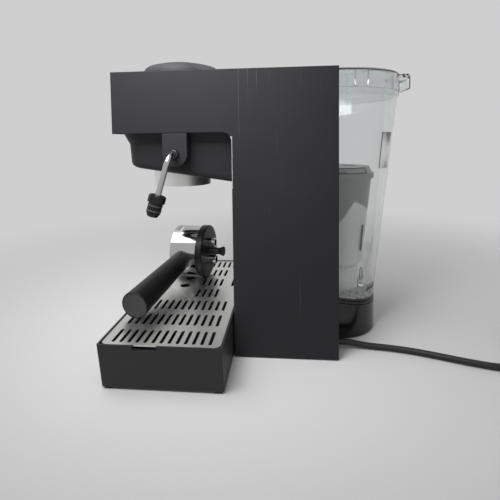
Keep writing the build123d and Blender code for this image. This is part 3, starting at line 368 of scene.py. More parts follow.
@dataclass(frozen=True)
class Clear(Finish):
    """Clear moulded plastic with slow flow lines in its wall."""

    wave: float = 24.0
    depth: float = 0.05

    def dress(self, tree: Tree, shader: Node, place: Socket) -> None:
        """Full transmission, with flow as a slow bump and faint handling marks as roughness."""
        shader.inputs["Transmission Weight"].default_value = 1.0
        flow = add_node(tree, "ShaderNodeTexNoise",
                        {"Vector": place, "Scale": per_mm(self.wave), "Detail": 2.0})
        self.bump(tree, shader, flow.outputs["Fac"], self.depth, 0.3)
        hazy = add_node(tree, "ShaderNodeMapRange", {"Value": flow.outputs["Fac"], "To Min": self.roughness,
                                                     "To Max": self.roughness + 0.05})
        tree.links.new(hazy.outputs["Result"], shader.inputs["Roughness"])


@dataclass(frozen=True)
class Pebbled(Finish):
    """Frosted clear plastic with a pebbled face that breaks up what lies behind it."""

    tint: str = "#ffffff"
    pebble: float = 5.0
    depth: float = 0.9
    clear: float = 0.35

    def dress(self, tree: Tree, shader: Node, place: Socket) -> None:
        """Round cells as a deep bump and as a change of colour."""
        shader.inputs["Transmission Weight"].default_value = self.clear
        cells = add_node(tree, "ShaderNodeTexVoronoi", {"Vector": place, "Scale": per_mm(self.pebble)},
                         feature="SMOOTH_F1")
        self.bump(tree, shader, cells.outputs["Distance"], self.depth, 0.8)
        blotch = add_node(tree, "ShaderNodeTexNoise",
                          {"Vector": place, "Scale": per_mm(self.pebble), "Detail": 3.0})
        crisp = add_node(tree, "ShaderNodeMapRange", {"Value": blotch.outputs["Fac"], "From Min": 0.35,
                                                      "From Max": 0.65})
        self.vary(tree, shader, crisp.outputs["Result"], self.tint, 0.1)


@dataclass(frozen=True)
class Cartridge(Finish):
    """Milky cartridge wall, darker above and paler below a ridge that falls to both sides of a slanted top."""

    tint: str = "#f0f0f0"
    axis_y: float = 61.0
    peak: float = 158.0
    peak_turn: float = 26.0
    front_fall: float = 55.0
    rear_fall: float = 16.0
    granule: float = 1.4

    def dress(self, tree: Tree, shader: Node, place: Socket) -> None:
        """Paler below a ridge that falls to both sides, in millimetres per radian, with a granular bump."""
        centred = add_node(tree, "ShaderNodeMapping",
                           {"Vector": place, "Location": (0.0, -self.axis_y * MM, 0.0)})
        at = add_node(tree, "ShaderNodeSeparateXYZ", {"Vector": centred.outputs["Vector"]})
        turn = add_node(tree, "ShaderNodeMath", {0: at.outputs["Y"], 1: at.outputs["X"]}, operation="ARCTAN2")
        past = add_node(tree, "ShaderNodeMath", {0: turn.outputs["Value"], 1: math.radians(self.peak_turn)},
                        operation="SUBTRACT")
        front = add_node(tree, "ShaderNodeMath", {0: past.outputs["Value"], 1: -self.front_fall * MM},
                         operation="MULTIPLY")
        rear = add_node(tree, "ShaderNodeMath", {0: past.outputs["Value"], 1: self.rear_fall * MM},
                        operation="MULTIPLY")
        fall = add_node(tree, "ShaderNodeMath", {0: front.outputs["Value"], 1: rear.outputs["Value"]},
                        operation="MAXIMUM")
        level = add_node(tree, "ShaderNodeMath", {0: at.outputs["Z"], 1: fall.outputs["Value"]},
                         operation="ADD")
        paler_below_ridge = add_node(tree, "ShaderNodeMapRange",
                        {"Value": level.outputs["Value"], "From Min": self.peak * MM,
                                                     "From Max": (self.peak - 3) * MM})
        self.vary(tree, shader, paler_below_ridge.outputs["Result"], self.tint, 0.1)
        grains = add_node(tree, "ShaderNodeTexNoise", {"Vector": place, "Scale": per_mm(self.granule)})
        self.bump(tree, shader, grains.outputs["Fac"], 0.02)


class Look(Enum):
    """The finishes of this machine."""

    # Powder coat on sheet steel: dark, even and dull, with a fine peel and a few pale hairline scratches.
    # Peel and hairlines are drawn coarser than the real ones so that they show.
    POWDER_COAT = Coated("powder_coated_steel", "coated_steel", "#242426", 0.5, tint="#2b2b2d", specular=0.12)
    # Spark-eroded ABS: dull and close in colour to the coat, with a fine even grain.
    DARK_ABS = Moulded("moulded_dark_abs", "dark_plastic", "#1b1b1d", 0.5, tint="#232325", specular=0.25)
    BOSS_ABS = Moulded("moulded_boss_abs", "dark_plastic", "#242426", 0.5, tint="#2a2a2c", specular=0.2)
    TRAY_ABS = Moulded("moulded_tray_abs", "tray_plastic", "#262628", 0.5, tint="#2e2e30", specular=0.25)
    DIAL_ABS = Moulded("moulded_dial_abs", "dial_grey", "#343436", 0.6, tint="#3c3c3e", grain=0.6,
                       depth=0.012,
                       specular=0.3)
    CAP_ABS = Moulded("moulded_cap_abs", "grey_plastic", "#2e2e30", 0.5, tint="#373739")
    # Black phenolic-like plastic, satin, with a soft long highlight.
    BLACK_ABS = Moulded("moulded_black_abs", "black_plastic", "#0e0e0f", 0.4, tint="#161617", grain=0.6,
                        depth=0.01,
                        specular=0.3)
    # Beads on the nozzle: black plastic given a paler grey as a painted highlight on their ledges.
    BEAD_PAINTED_HIGHLIGHT = Moulded("bead_painted_highlight_abs", "black_plastic", "#4a4a4b", 0.34, tint="#5c5c5d", grain=0.6,
                       depth=0.01)
    # Polished black ABS: deep and wet-looking, with faint wiping marks.
    GLOSS_ABS = Polished("gloss_black_abs", "gloss_black", "#0b0b0c", 0.2, tint="#161617")
    SEAM_ABS = Moulded("seam_black_abs", "gloss_black", "#050505", 0.7, tint="#080808", specular=0.1)
    # Bright chrome on brass and steel: mirrors its surroundings, a little softened by wiping.
    CHROME = Polished("chrome_plate", "chrome", "#c0c0c2", 0.1, metallic=1.0, tint="#d2d2d2")
    NICKEL = Polished("dark_nickel_plate", "chrome", "#4a4a4c", 0.3, metallic=1.0, tint="#5a5a5c")
    # Drawn sleeve with a satin face: catches the light evenly and mirrors nothing.
    SATIN = Brushed("satin_drawn_steel", "chrome", "#f4f4f4", 0.5, metallic=1.0, run=(1.0, 1.0, 0.03),
                    spread=0.1)
    # Stainless sheet brushed along the tray: bright across the grain, with long lines.
    STAINLESS = Brushed("brushed_stainless", "steel", "#c2c2c0", 0.34, metallic=1.0)
    SCREEN = Perforated("perforated_screen_steel", "steel", "#b9b9b7", 0.3, metallic=1.0)
    BASKET = Perforated("perforated_basket_steel", "steel", "#b9b9b7", 0.26, metallic=1.0, pitch=2.6,
                        flat=(1.0, 0.0, 1.0))
    # Die-cast aluminium: grey, grainy and stained by heat.
    ALUMINIUM = Cast("cast_aluminium", "cast_aluminium", "#a9a9aa", 0.5, metallic=1.0)
    COPPER = Cast("drawn_copper", "copper", "#b4714a", 0.35, metallic=1.0, tint="#8c5536")
    # Rubber: black and dull, with bloom in soft clouds.
    RUBBER = Moulded("black_rubber", "rubber", "#161616", 0.62, tint="#222222", grain=0.7)
    # Cord PVC: black, smooth and faintly shiny along its top.
    PVC = Moulded("black_cord_pvc", "rubber", "#0c0c0d", 0.4, tint="#161617", grain=0.5, depth=0.008)
    # Clear SAN: glass-like, with dark lines where its wall is seen edge on.
    CLEAR = Clear("clear_san", "clear_plastic", "#f6f8f8", 0.02, ior=1.5)
    PAD_SAN = Pebbled("frosted_san", "clear_plastic", "#f4f4f4", 0.12, pebble=1.5, depth=0.02, clear=1.0)
    FLOOR_SAN = Pebbled("pebbled_san", "clear_plastic", "#d6d6d6", 0.3)
    # Milky polypropylene: grey, half see-through, paler below a slanted ridge.
    MILKY = Cartridge("milky_filter_pp", "filter_plastic", "#969697", 0.45)
    CAP_PP = Moulded("moulded_filter_cap_pp", "filter_plastic", "#a4a4a4", 0.4, tint="#b4b4b4", grain=0.7)
    FRAME_PP = Moulded("moulded_filter_frame_pp", "filter_plastic", "#3c3c3d", 0.45, tint="#484849",
                       grain=0.7)
    # Silicone hose: pale, soft and cloudy.
    SILICONE = Moulded("silicone_hose", "silicone", "#cfcdc6", 0.5, tint="#dddbd4")
    BOARD = Etched("board_lacquer", "board_green", "#1f5a2c", 0.35)
    WINDING = Wound("lacquered_winding", "coil_lacquer", "#5b2a1c", 0.4)

    def on(self, *nodes: str) -> None:
        """Give CAD nodes this finish.

        Args:
            *nodes: Names of the nodes.
        """
        for name in nodes:
            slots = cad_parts[name].data.materials
            slots.clear()
            slots.append(self.value.material())
            LOG.info("%s dressed in %s", name, self.value.name)


def tidied(form: bmesh.types.BMesh) -> bmesh.types.BMesh:
    """Merge doubles and point the faces outwards."""
    bmesh.ops.remove_doubles(form, verts=form.verts, dist=0.001)
    bmesh.ops.recalc_face_normals(form, faces=form.faces)
    return form


def turned(outline: Outline, steps: int, arc: float = 360.0) -> bmesh.types.BMesh:
    """Spin a closed outline round the Z axis.

    Args:
        outline: Corners as radius and height.
        steps: Number of steps round.
        arc: Angle in degrees from the X axis; a part turn gets end faces.

    Returns:
        The new mesh, in millimetres.
    """
    form = bmesh.new()
    corners = [form.verts.new((radius, 0.0, height)) for radius, height in outline]
    whole = arc == 360.0
    if whole:
        for one, other in zip(corners, corners[1:] + corners[:1]):
            if one.co.x or other.co.x:
                form.edges.new((one, other))
    else:
        form.faces.new(corners)
    bmesh.ops.spin(form, geom=[*form.verts, *form.edges, *form.faces], cent=(0, 0, 0), axis=(0, 0, 1),
                   angle=math.radians(arc), steps=steps, use_merge=whole)
    return tidied(form)


def softened(form: bmesh.types.BMesh, radius: float, segments: int = 2) -> None:
    """Bevel the edges where faces meet at more than 40 degrees."""
    sharp = [edge for edge in form.edges if edge.is_manifold and edge.calc_face_angle() > math.radians(40)]
    bmesh.ops.bevel(form, geom=sharp, offset=radius, offset_type="OFFSET", segments=segments, profile=0.5,
                    affect="EDGES", material=-1)


def repeated(form: bmesh.types.BMesh, turns: tuple[float, ...]) -> None:
    """Put copies of a mesh at these turns round the Z axis, in degrees, in place of the first."""
    first = [*form.verts, *form.edges, *form.faces]
    for turn in turns:
        copy = bmesh.ops.duplicate(form, geom=first)["geom"]
        corners = [item for item in copy if isinstance(item, bmesh.types.BMVert)]
        bmesh.ops.rotate(form, verts=corners, cent=(0, 0, 0),
                         matrix=Matrix.Rotation(math.radians(turn), 3, "Z"))
    bmesh.ops.delete(form, geom=[item for item in first if isinstance(item, bmesh.types.BMVert)],
                     context="VERTS")


def piece(form: bmesh.types.BMesh, name: str, look: Look, body: str, place: Matrix) -> bpy.types.Object:
    """Turn a mesh in millimetres to a dressed piece that rides on a body.

    Args:
        form: The mesh, which is used up.
        name: Name of the piece.
        look: Its finish.
        body: The CAD body that carries it.
        place: Where the mesh goes, in millimetres.

    Returns:
        The new object.
    """
    bmesh.ops.transform(form, matrix=Matrix.Scale(MM, 4) @ place, verts=form.verts)
    mesh = bpy.data.meshes.new(name)
    form.to_mesh(mesh)
    form.free()
    mesh.shade_smooth()
    mesh.set_sharp_from_angle(angle=math.radians(35))
    mesh.materials.append(look.value.material())
    made = bpy.data.objects.new(name, mesh)
    bpy.context.scene.collection.objects.link(made)
    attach(made, body)
    LOG.info("%s made in %s", name, look.value.name)
    return made


@dataclass
class Casing:
    """Panels, covers and base of the column and the head."""

    def dress(self) -> None:
        """Coated sheet outside, moulded plastic behind and below."""
        Look.POWDER_COAT.on("right_side_panel", "left_side_panel", "front_top_cover", "column_front_panel")
        Look.DARK_ABS.on("rear_cover", "base_plate")
        Look.STAINLESS.on("base_screws")


@dataclass
class BrewHead:
    """Tub, group and boiler below and inside the head, with the dial on top."""

    def dress(self) -> None:
        """Dull tub, satin sleeve, cast metal inside."""
        Look.DARK_ABS.on("brew_head_tub", "wand_bush", "thermostats")
        Look.BOSS_ABS.on("steam_boss")
        Look.SATIN.on("group_collar")
        Look.DIAL_ABS.on("dial")
        Look.ALUMINIUM.on("group_head", "boiler", "boiler_cap", "selector_valve")
        Look.SCREEN.on("shower_screen")
        Look.STAINLESS.on("dial_shaft", "heating_element", "screen_screw")
        Look.RUBBER.on("group_gasket")
        Look.COPPER.on("steam_pipe")


@dataclass
class SteamWand:
    """Chrome wand with a black push-on nozzle that has two ears and two beads."""

    top: Point = (111.0, -125.71, 174.04)
    lean: float = 17.0
    bore: float = 3.05
    hole: float = 1.7
    socket: float = 8.3
    radius: float = 7.2
    tip: float = 5.4
    length: float = 21.8
    taper: float = 4.0
    ear: float = 8.8
    ear_height: float = 7.0
    ear_bevel: float = 1.5
    ear_flat: float = 7.35
    ear_top: float = 0.2
    ear_sink: float = 0.3
    bead: float = 0.35
    bead_height: float = 1.0
    bead_sink: float = 0.2
    bead_edge: float = 0.3
    edge_round: float = 0.3
    shoulder: float = 1.0
    bead_drops: tuple[float, ...] = (10.2, 15.4)

    def body_outline(self) -> Outline:
        """Bore, shoulder, wall and tapered end of the nozzle."""
        wall_end = -self.length + self.taper
        return ((self.bore, 0.0), (self.radius - self.shoulder, 0.0), (self.radius, -self.shoulder),
                (self.radius, wall_end),
                (self.tip, -self.length), (self.hole, -self.length), (self.hole, -self.socket),
                (self.bore, -self.socket))

    def build(self) -> None:
        """Turn the nozzle, cut its collar to two ears, and add the beads in a paler grey, a painted highlight
        on their ledges.
        """
        place = Matrix.Translation(self.top) @ Matrix.Rotation(math.radians(-self.lean), 4, "X")
        body = turned(self.body_outline(), 48)
        softened(body, self.edge_round)
        nozzle = piece(body, "nozzle_body", Look.BLACK_ABS, "nozzle", place)
        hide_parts("steam_nozzle")
        inside = self.radius - self.ear_sink
        ears = turned(((inside, -self.ear_top), (self.ear, -self.ear_top), (self.ear, -self.ear_height),
                       (inside, -self.ear_height)), 64)
        rim = [edge for edge in ears.edges
               if all(end.co.z > -self.ear_height / 2 and end.co.xy.length > self.radius for end in edge.verts)]
        bmesh.ops.bevel(ears, geom=rim, offset=self.ear_bevel, offset_type="OFFSET", segments=4, profile=0.5,
                        affect="EDGES",
                        material=-1)
        for side in (1.0, -1.0):
            cut = bmesh.ops.bisect_plane(ears, geom=[*ears.verts, *ears.edges, *ears.faces],
                                         plane_co=(side * self.ear_flat, 0, 0), plane_no=(side, 0, 0),
                                         clear_outer=True)
            bmesh.ops.holes_fill(ears,
                                 edges=[e for e in cut["geom_cut"] if isinstance(e, bmesh.types.BMEdge)])
        piece(tidied(ears), "nozzle_ears", Look.BLACK_ABS, "nozzle", place)
        for number, drop in enumerate(self.bead_drops, 1):
            low, high = -drop - self.bead_height / 2, -drop + self.bead_height / 2
            inside, outside = self.radius - self.bead_sink, self.radius + self.bead
            bead = turned(((inside, low), (outside, low + self.bead_edge), (outside, high - self.bead_edge),
                           (inside, high)), 48)
            piece(bead, f"nozzle_bead_{number}", Look.BEAD_PAINTED_HIGHLIGHT, "nozzle", place)

    def dress(self) -> None:
        """Bright wand and a small dark nut."""
        Look.CHROME.on("steam_wand")
        Look.NICKEL.on("wand_nut")


@dataclass
class WaterTank:
    """Clear tank with its lid and filter, on a gloss base."""

    axis_y: float = 61.0
    low_radius: float = 45.3
    low_height: float = 40.0
    slope: float = 26.0 / 241.2
    pad_low: float = 195.0
    pad_high: float = 235.0
    pad_turn: float = 42.0
    pad_arc: float = 19.0
    pad_rise: float = 0.9
    pad_skin: float = 0.05
    pad_round: float = 0.35
    rib_inner: float = 69.0
    rib_outer: float = 70.9
    rib_low: float = 282.4
    rib_high: float = 299.0
    rib_arc: float = 0.9
    rib_round: float = 0.2
    rib_turns: tuple[float, ...] = (-21.0, -9.5, 9.5, 21.0, 159.0, 170.5, 189.5, 201.0)
    post_y: float = 93.0
    post_outline: Outline = ((0.0, 46.6), (3.6, 46.6), (3.6, 48.0), (2.4, 50.0), (2.2, 66.0), (1.4, 68.6),
                             (0.0, 69.2))
    base_radius: float = 46.0
    rim_middle: float = 48.5
    rim_lean: float = 10.0
    seam_drops: tuple[float, ...] = (3.2, 6.8)
    seam_height: float = 0.9
    seam_sink: float = 0.3
    seam_rise: float = 0.12
    floor_low: float = 44.0
    floor_high: float = 46.5
    floor_hole: float = 28.2
    floor_radius: float = 40.0
    floor_edge: float = 42.6
    floor_wall: float = 1.6
    floor_round: float = 0.6
    skirt_low: float = 34.0
    skirt_high: float = 40.4
    cap_low: float = 188.0
    cap_high: float = 195.5
    cap_low_radius: float = 43.6
    cap_taper: float = 3.5
    frame_turn: float = -34.0
    frame_arc: float = 82.0
    frame_below: float = 0.6
    frame_above: float = 0.4
    frame_bar: float = 1.0
    frame_side: float = 1.4
    frame_rise: float = 0.7
    cap_skin: float = 0.03
    tooth_low: float = 1.7
    tooth_high: float = 2.9
    tooth_arc: float = 1.5
    tooth_rise: float = 0.9
    tooth_turns: tuple[float, ...] = tuple(-16.0 + 3.0 * step for step in range(9))
    slit_turn: float = 46.0
    slit_arc: float = 4.0
    slit_outline: Outline = ((35.25, 97.0), (35.9, 97.0), (39.0, 128.0), (38.3, 128.0))

    def axis(self, turn: float = 0.0) -> Matrix:
        """Place on the tank's axis, turned from the X axis."""
        return Matrix.Translation((0.0, self.axis_y, 0.0)) @ Matrix.Rotation(math.radians(turn), 4, "Z")

    def wall(self, height: float, off: float = 0.0) -> tuple[float, float]:
        """Point on the tank's outside, or off it, as radius and height."""
        return (self.low_radius + (height - self.low_height) * self.slope + off, height)

    def cap_wall(self, height: float, off: float) -> tuple[float, float]:
        """Point off the sloping side of the filter's cap, as radius and height."""
        share = (height - self.cap_low) / (self.cap_high - self.cap_low)
        return (self.cap_low_radius - self.cap_taper * share + off, height)

    def cap_bar(self, low: float, high: float, rise: float, arc: float, steps: int) -> bmesh.types.BMesh:
        """Bar bent round the side of the filter's cap.

        Args:
            low: Lower height.
            high: Upper height.
            rise: How far it stands out.
            arc: Length round, in degrees.
            steps: Number of steps round.

        Returns:
            The new mesh.
        """
        return turned((self.cap_wall(low, self.cap_skin), self.cap_wall(low, rise), self.cap_wall(high, rise),
                       self.cap_wall(high, self.cap_skin)), steps, arc)

    def build_tank(self) -> None:
        """Grip pad on the wall, pebbled floor and float post inside, ribs inside the lid."""
        pad = turned((self.wall(self.pad_low, self.pad_skin), self.wall(self.pad_low, self.pad_rise),
                      self.wall(self.pad_high, self.pad_rise), self.wall(self.pad_high, self.pad_skin)), 14,
                      self.pad_arc)
        softened(pad, self.pad_round)
        piece(pad, "tank_grip_pad", Look.PAD_SAN, "tank", self.axis(self.pad_turn))
        skirt = self.floor_radius - self.floor_wall
        floor = turned(((self.floor_hole, self.floor_low), (skirt, self.floor_low), (skirt, self.skirt_low),
                        (self.floor_radius, self.skirt_low), (self.floor_radius, self.skirt_high),
                        (self.floor_edge, self.floor_low), (self.floor_edge, self.floor_high),
                        (self.floor_hole, self.floor_high)), 72)
        softened(floor, self.floor_round)
        piece(floor, "tank_pebbled_floor", Look.FLOOR_SAN, "tank", self.axis())
        post = turned(self.post_outline, 28)
        piece(post, "tank_float_post", Look.CLEAR, "tank", Matrix.Translation((0.0, self.post_y, 0.0)))
        rib = turned(((self.rib_inner, self.rib_low), (self.rib_outer, self.rib_low),
                      (self.rib_outer, self.rib_high), (self.rib_inner, self.rib_high)), 1, self.rib_arc)
        softened(rib, self.rib_round)
        repeated(rib, self.rib_turns)
        piece(rib, "lid_ribs", Look.CLEAR, "lid", self.axis())

    def build_base(self) -> None:
        """Two seams round the base, parallel to its sloping rim."""
        slant = Matrix.Identity(4)
        slant[2][1] = -math.tan(math.radians(self.rim_lean))
        for number, drop in enumerate(self.seam_drops, 1):
            low = self.rim_middle - drop
            high = low + self.seam_height
            inside, outside = self.base_radius - self.seam_sink, self.base_radius + self.seam_rise
            seam = turned(((inside, low), (outside, low), (outside, high), (inside, high)), 96)
            piece(seam, f"base_seam_{number}", Look.SEAM_ABS, "casing", self.axis() @ slant)

    def build_filter(self) -> None:
        """Recess frame and grip teeth on the filter's cap, and a level slit in its side."""
        low, high = self.cap_low + self.frame_below, self.cap_high - self.frame_above
        bar_top, bar_bottom = low + self.frame_bar, high - self.frame_bar
        for name, start, end in (("low", low, bar_top), ("high", bar_bottom, high)):
            bar = self.cap_bar(start, end, self.frame_rise, self.frame_arc, 40)
            piece(bar, f"filter_frame_{name}", Look.FRAME_PP, "filter", self.axis(self.frame_turn))
        sides = self.cap_bar(bar_top, bar_bottom, self.frame_rise, self.frame_side, 1)
        repeated(sides, (self.frame_turn, self.frame_turn + self.frame_arc - self.frame_side))
        piece(sides, "filter_frame_sides", Look.FRAME_PP, "filter", self.axis())
        teeth = self.cap_bar(self.cap_low + self.tooth_low, self.cap_low + self.tooth_high, self.tooth_rise,
                             self.tooth_arc, 1)
        repeated(teeth, self.tooth_turns)
        piece(teeth, "filter_teeth", Look.FRAME_PP, "filter", self.axis())
        slit = turned(self.slit_outline, 3, self.slit_arc)
        piece(slit, "filter_level_slit", Look.FRAME_PP, "filter", self.axis(self.slit_turn))

    def build(self) -> None:
        """Make the details of tank, base and filter."""
        self.build_tank()
        self.build_base()
        self.build_filter()

    def dress(self) -> None:
        """Clear tank and lid, gloss base, milky filter."""
        Look.CLEAR.on("water_tank", "tank_lid")
        Look.CAP_PP.on("tank_valve", "filter_cap")
        Look.MILKY.on("filter_body")
        Look.GLOSS_ABS.on("tank_base")
        Look.RUBBER.on("valve_seal")


@dataclass
class DripTray:
    """Tray with its feet and its brushed grid."""

    def dress(self) -> None:
        """Dull tray, bright grid, rubber feet."""
        Look.TRAY_ABS.on("drip_tray")
        Look.STAINLESS.on("drip_grid")
        Look.RUBBER.on("tray_feet")


@dataclass
class Portafilter:
    """Portafilter that lies on the grid."""

    def dress(self) -> None:
        """Chrome cup and spouts, black disc, peg and handle, grey end cap."""
        Look.CHROME.on("portafilter_cup", "portafilter_spouts")
        Look.BLACK_ABS.on("valve_peg", "portafilter_disc", "portafilter_handle")
        Look.CAP_ABS.on("handle_cap")
        Look.BASKET.on("filter_basket")


@dataclass
class PumpBay:
    """Pump, hoses and board inside the column."""

    def dress(self) -> None:
        """Plastic pump, lacquered winding, pale hoses, green board."""
        Look.DARK_ABS.on("pump_body")
        Look.WINDING.on("pump_coil")
        Look.RUBBER.on("pump_mounts")
        Look.STAINLESS.on("pump_clamp")
        Look.SILICONE.on("suction_hose", "pressure_hose")
        Look.BOARD.on("control_board")


@dataclass
class MainsLead:
    """Mains cord over the floor, its coil with a tie clip, and its plug."""

    radius: float = 3.3
    route: tuple[Point, ...] = (
        (64.5, 51.0, 7.0),
        (64.5, 66.0, 7.0),
        (65.4, 86.0, 3.8),
        (67.6, 108.0, 3.4),
        (72.6, 132.0, 3.4),
        (80.6, 156.0, 3.4),
        (89.6, 180.0, 3.4),
        (98.0, 208.0, 3.4),
        (98.0, 236.0, 3.4),
    )
    lead: float = 56.0
    tail: float = 38.0
    outer_turn: float = 43.1
    pitch: float = 6.7
    turn_points: int = 16
    low: float = 3.4
    high: float = 10.1
    length: float = 1240.0
    tie_turn: float = 146.0
    tie_wall: float = 1.2
    tie_arc: float = 8.0
    tie_gap: float = 0.6
    tie_lift: float = 0.4
    tie_round: float = 0.4

    def middle(self) -> tuple[float, float]:
        """Centre of the coil on the floor."""
        enter = self.route[-1]
        return (enter[0] - self.outer_turn, enter[1] + self.lead)

    def coil(self) -> list[Point]:
        """Points of the coil: in along the lower layer, up, and out along the upper layer.

        Returns:
            Control points in order.
        """
        middle = self.middle()
        inner = self.outer_turn - 2 * self.pitch
        laps = 2 * self.turn_points
        rise = self.turn_points // 4
        swell = 1 / math.cos(math.pi / self.turn_points) ** 0.75
        points = []
        for step in range(2 * laps + rise + 1):
            angle = 2 * math.pi * step / self.turn_points
            if step <= laps:
                radius, height = self.outer_turn - self.pitch * step / self.turn_points, self.low
            elif step <= laps + rise:
                radius = inner
                height = self.low + (self.high - self.low) * (step - laps) / rise
            else:
                radius = inner + self.pitch * (step - laps - rise) / self.turn_points
                height = self.high
            points.append((middle[0] + radius * swell * math.cos(angle),
                           middle[1] + radius * swell * math.sin(angle), height))
        last = (middle[0] - self.tail, middle[1] + self.outer_turn, self.high)
        return points[1:-1] + [(middle[0], middle[1] + self.outer_turn, self.high), last]

    def tie(self) -> bpy.types.Object:
        """Clip that grips the turns of the coil from above.

        Returns:
            The clip.
        """
        inner = self.outer_turn - 2 * self.pitch - self.radius - self.tie_gap
        outer = self.outer_turn + self.radius + self.tie_gap
        foot, top = self.tie_lift, self.high + self.radius + self.tie_lift
        wall = self.tie_wall
        clip = turned(((inner - wall, foot), (inner, foot), (inner, top), (outer, top), (outer, foot),
                       (outer + wall, foot), (outer + wall, top + wall), (inner - wall, top + wall)), 6,
                       self.tie_arc)
        softened(clip, self.tie_round)
        place = Matrix.Translation((*self.middle(), 0.0)) @ Matrix.Rotation(math.radians(self.tie_turn), 4,
                                                                            "Z")
        return piece(clip, "cord_tie_clip", Look.RUBBER, "casing", place)

    def build(self) -> None:
        curve = bpy.data.curves.new("mains_cord_line", "CURVE")
        curve.dimensions = "3D"
        curve.bevel_depth = self.radius * MM
        curve.bevel_resolution = 5
        curve.resolution_u = 8
        curve.use_fill_caps = True
        points = list(self.route) + self.coil()
        spline = curve.splines.new("NURBS")
        spline.points.add(len(points) - 1)
        for spot, point in zip(spline.points, points):
            spot.co = (*(c * MM for c in point), 1.0)
        spline.order_u = 3
        spline.use_endpoint_u = True
        cord = bpy.data.objects.new("cord_line", curve)
        bpy.context.scene.collection.objects.link(cord)
        curve.materials.append(Look.PVC.value.material())
        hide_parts("mains_cord", "mains_cord_coil")
        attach(cord, "casing")
        self.tie()
        LOG.info("cord_line made")

    def dress(self) -> None:
        """Rubbery strain relief and plug, bright pins."""
        Look.RUBBER.on("cord_gland")
        Look.PVC.on("mains_plug")
        Look.CHROME.on("plug_pins")


@dataclass(frozen=True)
class Lamp:
    """A square soft lamp, with its power in watts and its beam in degrees."""

    name: str
    place: Point
    aim: Point
    size: float
    power: float
    spread: float

    def hang(self) -> None:
        """Add the lamp to the scene."""
        data = bpy.data.lights.new(self.name, "AREA")
        data.size = self.size * MM
        data.energy = self.power
        data.spread = math.radians(self.spread)
        lamp = bpy.data.objects.new(self.name, data)
        away = (Vector(self.place) - Vector(self.aim)).normalized()
        turn = away.to_track_quat("Z", "Y").to_matrix().to_4x4()
        lamp.matrix_world = Matrix.Translation(Vector(self.place) * MM) @ turn
        bpy.context.scene.collection.objects.link(lamp)


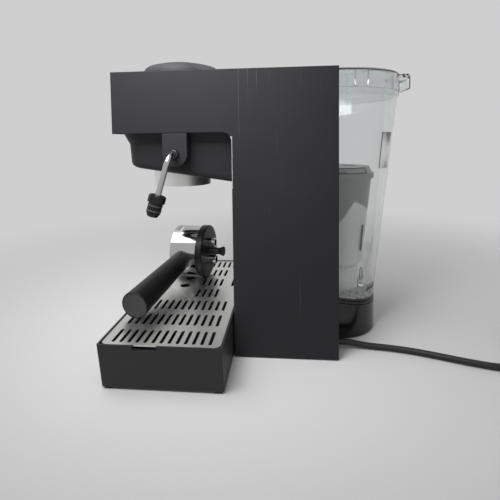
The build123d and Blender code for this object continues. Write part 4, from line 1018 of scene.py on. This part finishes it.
@dataclass
class Studio:
    """Camera at the photograph's angle, a pale floor and backdrop, and soft light."""

    eye: Point = (486.1, 1.9, 226.3)
    yaw: float = -0.095
    tilt: float = 0.060
    roll: float = -0.013
    focal: float = 390.0
    centre: tuple[float, float] = (249.5, 165.0)
    picture: float = 500.0
    sensor: float = 36.0
    pale: str = "#cfcfcf"
    sky: str = "#f4f4f4"
    sky_strength: float = 0.55
    floor_size: float = 9000.0
    lamps: tuple[Lamp, ...] = (
        Lamp("key", (250, -700, 1500), (0, -40, 100), 1300, 10, 180),
        Lamp("fill", (300, -150, 480), (92, -100, 290), 220, 0.75, 90),
    )
    floor_near: float = 280.0
    floor_far: float = 900.0

    def camera(self) -> None:
        """Place the camera from its angles and its principal point."""
        right, up, ahead = Vector((0, 1, 0)), Vector((0, 0, 1)), Vector((-1, 0, 0))
        right, ahead = (right * math.cos(self.yaw) - ahead * math.sin(self.yaw),
                        ahead * math.cos(self.yaw) + right * math.sin(self.yaw))
        ahead, up = (ahead * math.cos(self.tilt) - up * math.sin(self.tilt),
                     up * math.cos(self.tilt) + ahead * math.sin(self.tilt))
        right, up = (right * math.cos(self.roll) + up * math.sin(self.roll),
                     up * math.cos(self.roll) - right * math.sin(self.roll))
        data = bpy.data.cameras.new("camera")
        data.sensor_width = self.sensor
        data.lens = self.sensor * self.focal / self.picture
        data.shift_x = 0.5 - self.centre[0] / self.picture
        data.shift_y = self.centre[1] / self.picture - 0.5
        data.clip_start = 0.01
        camera = bpy.data.objects.new("camera", data)
        turn = Matrix((right, up, -ahead)).transposed().to_4x4()
        camera.matrix_world = Matrix.Translation(Vector(self.eye) * MM) @ turn
        bpy.context.scene.collection.objects.link(camera)
        bpy.context.scene.camera = camera

    def seen(self, tree: Tree) -> Socket:
        """Factor of 1 for what the camera sees straight, in metal or through clear plastic."""
        path = add_node(tree, "ShaderNodeLightPath")
        either = add_node(tree, "ShaderNodeMath",
                          {0: path.outputs["Is Camera Ray"], 1: path.outputs["Is Glossy Ray"]},
                          operation="MAXIMUM")
        return add_node(tree, "ShaderNodeMath", {0: either.outputs["Value"],
                                                 1: path.outputs["Is Transmission Ray"]},
                        operation="MAXIMUM").outputs["Value"]

    def floor(self) -> None:
        """A pale floor that runs into the backdrop far off."""
        form = bmesh.new()
        bmesh.ops.create_circle(form, cap_ends=True, radius=self.floor_size * MM, segments=96)
        mesh = bpy.data.meshes.new("floor")
        form.to_mesh(mesh)
        form.free()
        floor = bpy.data.objects.new("floor", mesh)
        paint = Moulded("pale_floor_paint", "", self.pale, 0.7, tint="#d3d3d3", cloud=180.0,
                        specular=0.1).material()
        tree = paint.node_tree
        place = add_node(tree, "ShaderNodeTexCoord").outputs["Object"]
        away = add_node(tree, "ShaderNodeVectorMath", {0: place}, operation="LENGTH")
        far = add_node(tree, "ShaderNodeMapRange",
                       {"Value": away.outputs["Value"], "From Min": self.floor_near * MM,
                                                    "From Max": self.floor_far * MM},
                                                    interpolation_type="SMOOTHSTEP")
        share = add_node(tree, "ShaderNodeMath", {0: far.outputs["Result"], 1: self.seen(tree)},
                         operation="MULTIPLY")
        glow = add_node(tree, "ShaderNodeEmission", {"Color": linear(self.pale), "Strength": 1.0})
        both = add_node(tree, "ShaderNodeMixShader", {0: share.outputs["Value"],
                                                      1: tree.nodes["Principled BSDF"].outputs["BSDF"],
                                                      2: glow.outputs["Emission"]})
        tree.links.new(both.outputs["Shader"], tree.nodes["Material Output"].inputs["Surface"])
        mesh.materials.append(paint)
        bpy.context.scene.collection.objects.link(floor)

    def light(self) -> None:
        """The lamps, an even sky, and the pale backdrop that the camera, metal and clear plastic see."""
        world = bpy.data.worlds.new("sky")
        bpy.context.scene.world = world
        world.use_nodes = True
        tree = world.node_tree
        sky = tree.nodes["Background"]
        sky.inputs["Color"].default_value = linear(self.sky)
        sky.inputs["Strength"].default_value = self.sky_strength
        backdrop = add_node(tree, "ShaderNodeBackground", {"Color": linear(self.pale), "Strength": 1.0})
        both = add_node(tree, "ShaderNodeMixShader", {0: self.seen(tree), 1: sky.outputs["Background"],
                                                      2: backdrop.outputs["Background"]})
        tree.links.new(both.outputs["Shader"], tree.nodes["World Output"].inputs["Surface"])
        for lamp in self.lamps:
            lamp.hang()
        bpy.context.scene.view_settings.view_transform = "Standard"

    def build(self) -> None:
        """Set the whole stage."""
        self.camera()
        self.floor()
        self.light()


def main() -> None:
    """Build the scene in order."""
    logging.basicConfig(level=logging.INFO, format="%(message)s")
    lead, wand, tank = MainsLead(), SteamWand(), WaterTank()
    Studio().build()
    lead.build()
    for made in (wand, tank):
        made.build()
    for group in (Casing(), BrewHead(), wand, tank, DripTray(), Portafilter(), PumpBay(), lead):
        group.dress()


if __name__ == "__main__":
    main()
